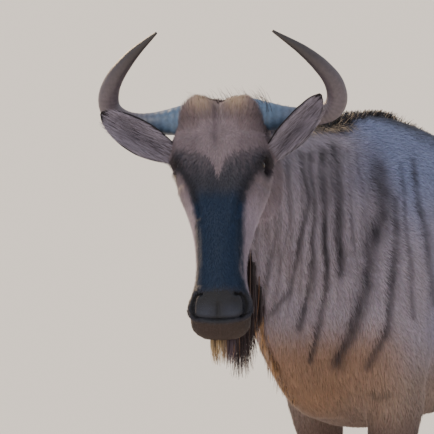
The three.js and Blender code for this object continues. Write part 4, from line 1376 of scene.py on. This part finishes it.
# %% Tufts
def tufts(name, root, up, lie, length, width, lift, colours, uv):
    """Short tufts as blades of a quad and a triangle."""
    lie = unit(lie - up * (lie * up).sum(1, keepdims=True))
    across = np.cross(lie, up) * (width / 2)[:, None]
    rise = np.sin(lift)[:, None]
    base = root - up * 0.8
    mid = root + (lie * 0.5 + up * (rise * 0.62)) * length[:, None]
    tip = root + (lie * np.cos(lift)[:, None] + up * rise) * length[:, None]
    points = np.stack([base - across, base + across, mid - across * 0.8, mid + across * 0.8, tip], 1)
    first = np.arange(len(root))[:, None] * 5
    quads, tris = first + [0, 1, 3, 2], first + [2, 3, 4]
    shade = np.array([0.85, 0.85, 1.0, 1.0, 1.12])
    colour = colours[:, None] * shade[None, :, None]
    spot = np.array([[-0.5, -0.5], [0.5, -0.5], [-0.4, 0.1], [0.4, 0.1], [0, 0.5]]) * UV_PATCH
    made = mesh_piece(name, points.reshape(-1, 3), [quads, tris], colour.reshape(-1, 3),
                      (uv[:, None] + spot).reshape(-1, 2), short_hair)


print("mean length of a tuft, mm:", round(float(hair_length(root).mean()), 1))

# %% [markdown]
# Each tuft takes the coat's colour at its root and differs a little in tone, length, width
# and lean. The coat is made in pieces by place on the body, of at most 64,000 tufts each.

# %% Lay the coat
TUFTS_PER_PIECE = 64000
in_head = on_the_head(root)
s, h, _ = to_head(root).T
lie, length = hair_flow(root), hair_length(root) * rng.uniform(0.7, 1.25, len(root))
width = np.where(in_head, 1.35, 1.7) * rng.uniform(0.7, 1.3, len(root))
lift = rng.uniform(0.06, 0.26, len(root)) + np.where(in_head & (h < 40), 0.2, 0)
lift = lift + 0.2 * (in_head & (np.abs(s) > 40) & (h < 380))
tone = rng.uniform(0.84, 1.16, (len(root), 1)) * (1 + 0.03 * rng.standard_normal((len(root), 3)))
colours = np.clip(coat_colour(root) * tone, 0, 1)
lie = unit(lie + 0.12 * rng.standard_normal(lie.shape))
group = np.select([in_head, root[:, 2] < LEGS_BELOW, root[:, 1] < -430, root[:, 1] < 60], [0, 1, 2, 3], 4)
for k, place in enumerate(["head", "legs", "forequarter", "ribs", "hindquarter"]):
    chosen = np.flatnonzero(group == k)
    for number, some in enumerate(np.array_split(chosen, math.ceil(len(chosen) / TUFTS_PER_PIECE))):
        tufts(f"coat_{place}_{number + 1}", root[some], up[some], lie[some], length[some],
              width[some], lift[some], colours[some], root_uv[some])
    print(place, len(chosen))

# %% [markdown]
# ## Long hair
# Mane, beard, brow, chin, ears, lashes and tail have longer, coarser hair. Long hair clumps,
# so strands share the lean of a lock and only differ a little inside it. Each strand is a
# narrow bent strip that tapers to its tip, with a fraction of the faces of a round one. A
# flat strip vanishes when seen on edge, so most of them are turned at random.

# %% Strands
skin_tree = BVHTree.FromPolygons([tuple(v) for v in skin_at], [tuple(t) for t in tri_points])


def strands(name, root, start, finish, length, width, colours, across, nodes=(), bends=7):
    """Bent tapering strips from root along start, ending along finish."""
    n = len(root)
    start, finish, across = unit(start), unit(finish), unit(across)
    knee = root + start * (length * 0.5)[:, None]
    tip = knee + finish * (length * 0.5)[:, None]
    base = root - start * 6
    t = np.linspace(0, 1, bends)[None, :, None]
    spine = (1 - t) ** 2 * base[:, None] + 2 * t * (1 - t) * knee[:, None] + t**2 * tip[:, None]
    wave = rng.uniform(0, 6.28, n)[:, None, None]
    spine = spine + (np.sin(t * 7 + wave) * t) * across[:, None] * (length * 0.02)[:, None, None]
    half = (width / 2)[:, None, None] * np.maximum(1 - t, 0.04) ** 0.55 * across[:, None]
    points = np.stack([spine - half, spine + half], 2).reshape(-1, 3)
    first = np.arange(n)[:, None, None] * bends * 2 + np.arange(bends - 1)[None, :, None] * 2
    quads = (first + np.array([0, 1, 3, 2])).reshape(-1, 4)
    shade = (0.75 + 0.45 * t) * np.ones((n, bends, 1))
    colour = np.repeat(np.clip(colours[:, None] * shade, 0, 1)[:, :, None], 2, 2).reshape(-1, 3)
    nearest = np.array([skin_tree.find_nearest(Vector(q))[2] for q in root])
    uvs = np.zeros((n, bends, 2, 2))
    uvs += skin_uv[tri_loops[nearest]].mean(1)[:, None, None]
    uvs[..., 1] += ((t[0, :, 0] - 0.5) * UV_PATCH)[None, :, None]
    uvs[:, :, 0, 0] -= UV_PATCH * 0.4
    uvs[:, :, 1, 0] += UV_PATCH * 0.4
    made = mesh_piece(name, points, [quads], colour, uvs.reshape(-1, 2), long_hair)
    if nodes:
        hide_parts(*nodes)
    print(name, n, "strands")

# %% Locks and shades
LONG = palette(dark="232127", pale="a99784", warm="8a6242")


def along_line(rows, n, locks):
    """Strand roots along a table of points, and the lock that each belongs to."""
    lock = np.sort(rng.uniform(0, len(rows) - 1, locks))
    mine = rng.integers(0, locks, n)
    place = np.clip(lock[mine] + rng.normal(0, 0.07, n), 0, len(rows) - 1)
    return between(numbered(rows), place)[:, 1:], mine


def shades(n, dark, light, share):
    """Mostly one colour with some strands of another, each a little different."""
    pick = rng.random(n) < share
    base = np.where(pick[:, None], light, dark)
    return np.clip(base * rng.uniform(0.65, 1.35, (n, 1)), 0, 1)


print("shades of long hair:", list(LONG))

# %% [markdown]
# ### Mane
# The mane stands along the crest from between the ears to the withers, and lower hair
# follows it along the back. A few paler hairs fall over the left side of the neck.

# %% Mane
MANE = [  # x, y, z of the roots, length
    (76, -965, 1312, 36), (50, -880, 1287, 46), (28, -790, 1278, 48), (12, -690, 1273, 44),
    (3, -580, 1270, 38), (0, -460, 1275, 28), (0, -340, 1284, 20), (0, -250, 1264, 20),
    (0, -120, 1220, 18), (0, 60, 1177, 14)]

n, locks = 6200, 190
line, mine = along_line(MANE, n, locks)
lean = rng.normal(0, 0.28, locks)[mine] + rng.normal(0, 0.08, n)
back_lean = rng.uniform(0.45, 1.0, locks)[mine]
scatter = np.column_stack([rng.normal(0, 11, n) + lean * 10, rng.normal(0, 5, n), np.full(n, -6.0)])
strands("mane_hair", line[:, :3] + scatter,
        start=np.column_stack([lean, np.full(n, 0.25), np.ones(n)]),
        finish=np.column_stack([lean * 2.4, back_lean, np.full(n, 0.75)]),
        length=line[:, 3] * rng.uniform(0.7, 1.25, n), width=rng.uniform(1.6, 3.0, n),
        colours=shades(n, LONG["dark"], LONG["pale"], 0.12),
        across=rng.standard_normal((n, 3)) * [0.4, 1, 0.2])

n = 700
line, mine = along_line(MANE[3:6], n, 60)
aside = rng.uniform(0, 26, n)
scatter = np.column_stack([aside, rng.normal(-25, 14, n), -6 - 0.3 * aside])
strands("mane_fall_hair", line[:, :3] + scatter,
        start=np.column_stack([np.full(n, 0.7), np.full(n, 0.3), rng.uniform(0.2, 0.7, n)]),
        finish=np.column_stack([np.full(n, 0.7), rng.uniform(0.2, 0.8, n), np.full(n, -1.0)]),
        length=rng.uniform(22, 54, n), width=rng.uniform(0.9, 1.8, n),
        colours=shades(n, LONG["pale"], LONG["dark"], 0.4),
        across=rng.standard_normal((n, 3)) * [0.3, 1, 0.3])

# %% Hair between the horns
n = 260
roots = on_head(np.column_stack([rng.uniform(-60, 105, n), np.full(n, 8.0), rng.uniform(-110, -50, n)]))
strands("brow_hair", roots,
        start=-DOWN - SIDE * rng.normal(0.2, 0.25, (n, 1)) - FORWARD * 0.1,
        finish=-DOWN * 0.5 - SIDE * rng.uniform(0.3, 1.5, (n, 1)) + FORWARD * rng.uniform(0, 0.5, (n, 1)),
        length=rng.uniform(22, 62, n), width=rng.uniform(0.7, 1.2, n),
        colours=shades(n, LONG["dark"], LONG["pale"], 0.1),
        across=np.tile(SIDE, (n, 1)) + rng.normal(0, 0.3, (n, 3)))

# %% [markdown]
# ### Beard and chin
# The beard hangs from the throat, long and dark, and thins to a short fringe down the front
# of the neck, tan like the chest and made paler with painted backlight. The chin has a tuft of
# bristles, pale on the animal's right side, where light from behind catches them.

# %% Beard and chin
BEARD = [  # x, y, z of the roots from the brisket up, length
    (-16, -600, 694, 8), (-14, -655, 738, 10), (-8, -715, 802, 12), (4, -758, 868, 14),
    (20, -800, 928, 60), (28, -828, 962, 150), (34, -860, 1003, 225), (38, -890, 1038, 235),
    (40, -915, 1066, 150)]
STRAND = palette(beard="33272a", beard_brown="6d5140", fringe="a07c58", fringe_brown="5d4636",
                 chin_pale="a98f6a", chin_brown="4a3b30", chin_dark="40323a")

n, locks = 4000, 130
line, mine = along_line(BEARD, n, locks)
kept = (line[:, 1] < -775) | (rng.random(n) < 0.3)
line, mine, n = line[kept], mine[kept], int(kept.sum())
lean = rng.normal(0, 0.04, locks)[mine] + rng.normal(0, 0.015, n)
scatter = np.column_stack([rng.normal(0, 6, n) + lean * 60, rng.normal(0, 8, n), np.full(n, 10.0)])
# The fringe's hair is tan like the chest, and painted backlight makes it paler.
fringe = step(line[:, 1], -785, -745)
strands("beard_hair", line[:, :3] + scatter,
        start=np.column_stack([lean, np.full(n, -0.1), -np.ones(n)]),
        finish=np.column_stack([-lean, rng.uniform(-0.15, 0.3, locks)[mine], -np.ones(n)]),
        length=(line[:, 3] + 12) * rng.uniform(0.55, 1.08, n),
        width=rng.uniform(1.6, 2.8, n) * (1 - 0.3 * fringe),
        colours=mix(shades(n, STRAND["beard"], STRAND["beard_brown"], 0.1),
                    shades(n, STRAND["fringe"], STRAND["fringe_brown"], 0.3), fringe),
        across=rng.standard_normal((n, 3)) * [1, 1, 0.1])

n = 380
q = rng.uniform(-1, 1, n)
roots = on_head(np.column_stack([q * 24 + 4, np.full(n, 460.0), -64 - 16 * (1 - q * q) * rng.random(n)]))
strands("chin_hair", roots,
        start=DOWN + SIDE * q[:, None] * 0.2,
        finish=DOWN - SIDE * q[:, None] * 0.3 - FORWARD * 0.3,
        length=rng.uniform(30, 72, n), width=rng.uniform(0.9, 1.6, n),
        colours=mix(shades(n, STRAND["chin_pale"], STRAND["chin_brown"], 0.25),
                    shades(n, STRAND["chin_dark"], LONG["warm"], 0.15), step(q, -0.3, 0.5)),
        across=np.tile(SIDE, (n, 1)) + rng.normal(0, 0.3, (n, 3)))

# %% [markdown]
# ### Lashes and ear hair
# Short dark lashes stand out from the edge of the upper lid. Fine pale hair lines the cup of
# the ear and runs towards its tip.

# %% Lashes and ear hair
LASH, EAR_PALE, EAR_DARK = linear("141216"), linear("8d8696"), linear("4a444c")
n = 90
for hand, side in (("left", 1), ("right", -1)):
    u = rng.uniform(-17, 17, n)
    w = -LID_ABOVE * (1 - (u / LID_WIDTH) ** 2) - rng.uniform(0, 2, n)
    out = EYE[0] + np.sqrt(EYE_RADIUS**2 - u * u - w * w) + 2.5
    roots = on_head(np.column_stack([side * out, EYE[1] + w, EYE[2] + u - 0.2 * w]))
    outward = side * SIDE + FORWARD * (u[:, None] / 40) + rng.normal(0, 0.1, (n, 3))
    strands(f"lash_hair_{hand}", roots, start=outward + DOWN * 0.35, finish=outward + DOWN * 0.1,
            length=rng.uniform(9, 15, n), width=rng.uniform(0.5, 0.8, n),
            colours=shades(n, LASH, LONG["dark"], 0.2), across=np.tile(FORWARD, (n, 1)), bends=5)

n = 1100
for hand in EARS:
    rings, along, front, wide = ear_shells[hand]
    i, k = rng.integers(8, 70, n), rng.integers(EAR_ACROSS + 2, 2 * EAR_ACROSS + 1, n)
    q = 1 - 2 * (k - EAR_ACROSS - 1) / EAR_ACROSS
    strands(f"ear_hair_{hand}", rings[i, k] + front * 4,
            start=along * 0.9 - wide * q[:, None] * 0.25 + front * 0.2,
            finish=along + wide * q[:, None] * 0.15 + front * 0.05,
            length=rng.uniform(12, 26, n), width=rng.uniform(0.7, 1.1, n),
            colours=shades(n, EAR_PALE, EAR_DARK, 0.15), across=np.tile(wide, (n, 1)), bends=5)

# %% [markdown]
# ### Tassel
# The tail ends in a long black tassel. Its strands leave the dock at different heights and
# end below the hocks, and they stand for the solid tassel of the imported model.

# %% Tassel
LOCKS, LOCK_TURN = 46, 2.4
DOCK_END, TASSEL_END = 700, 335  # heights
n = 4200
turn = rng.integers(0, LOCKS, n) * LOCK_TURN + rng.normal(0, 0.12, n)
ring = np.column_stack([np.cos(turn), np.sin(turn), np.zeros(n)])
top = DOCK_END - rng.uniform(0, 190, n)
roots = np.array([*TAIL[-1][:2], 0]) + ring * 8 + np.column_stack([np.zeros(n), np.zeros(n), top])
strands("tassel_hair", roots,
        start=ring * 0.3 + [0, 0, -1], finish=ring * -0.12 + [0, 0, -1],
        length=(top - TASSEL_END) * rng.uniform(0.7, 1.02, n), width=rng.uniform(2.0, 3.4, n),
        colours=shades(n, LONG["dark"], linear("4a3f38"), 0.2),
        across=np.cross(ring, [0, 0, 1.0]) + 0.4 * ring, nodes=("tail_tassel",))
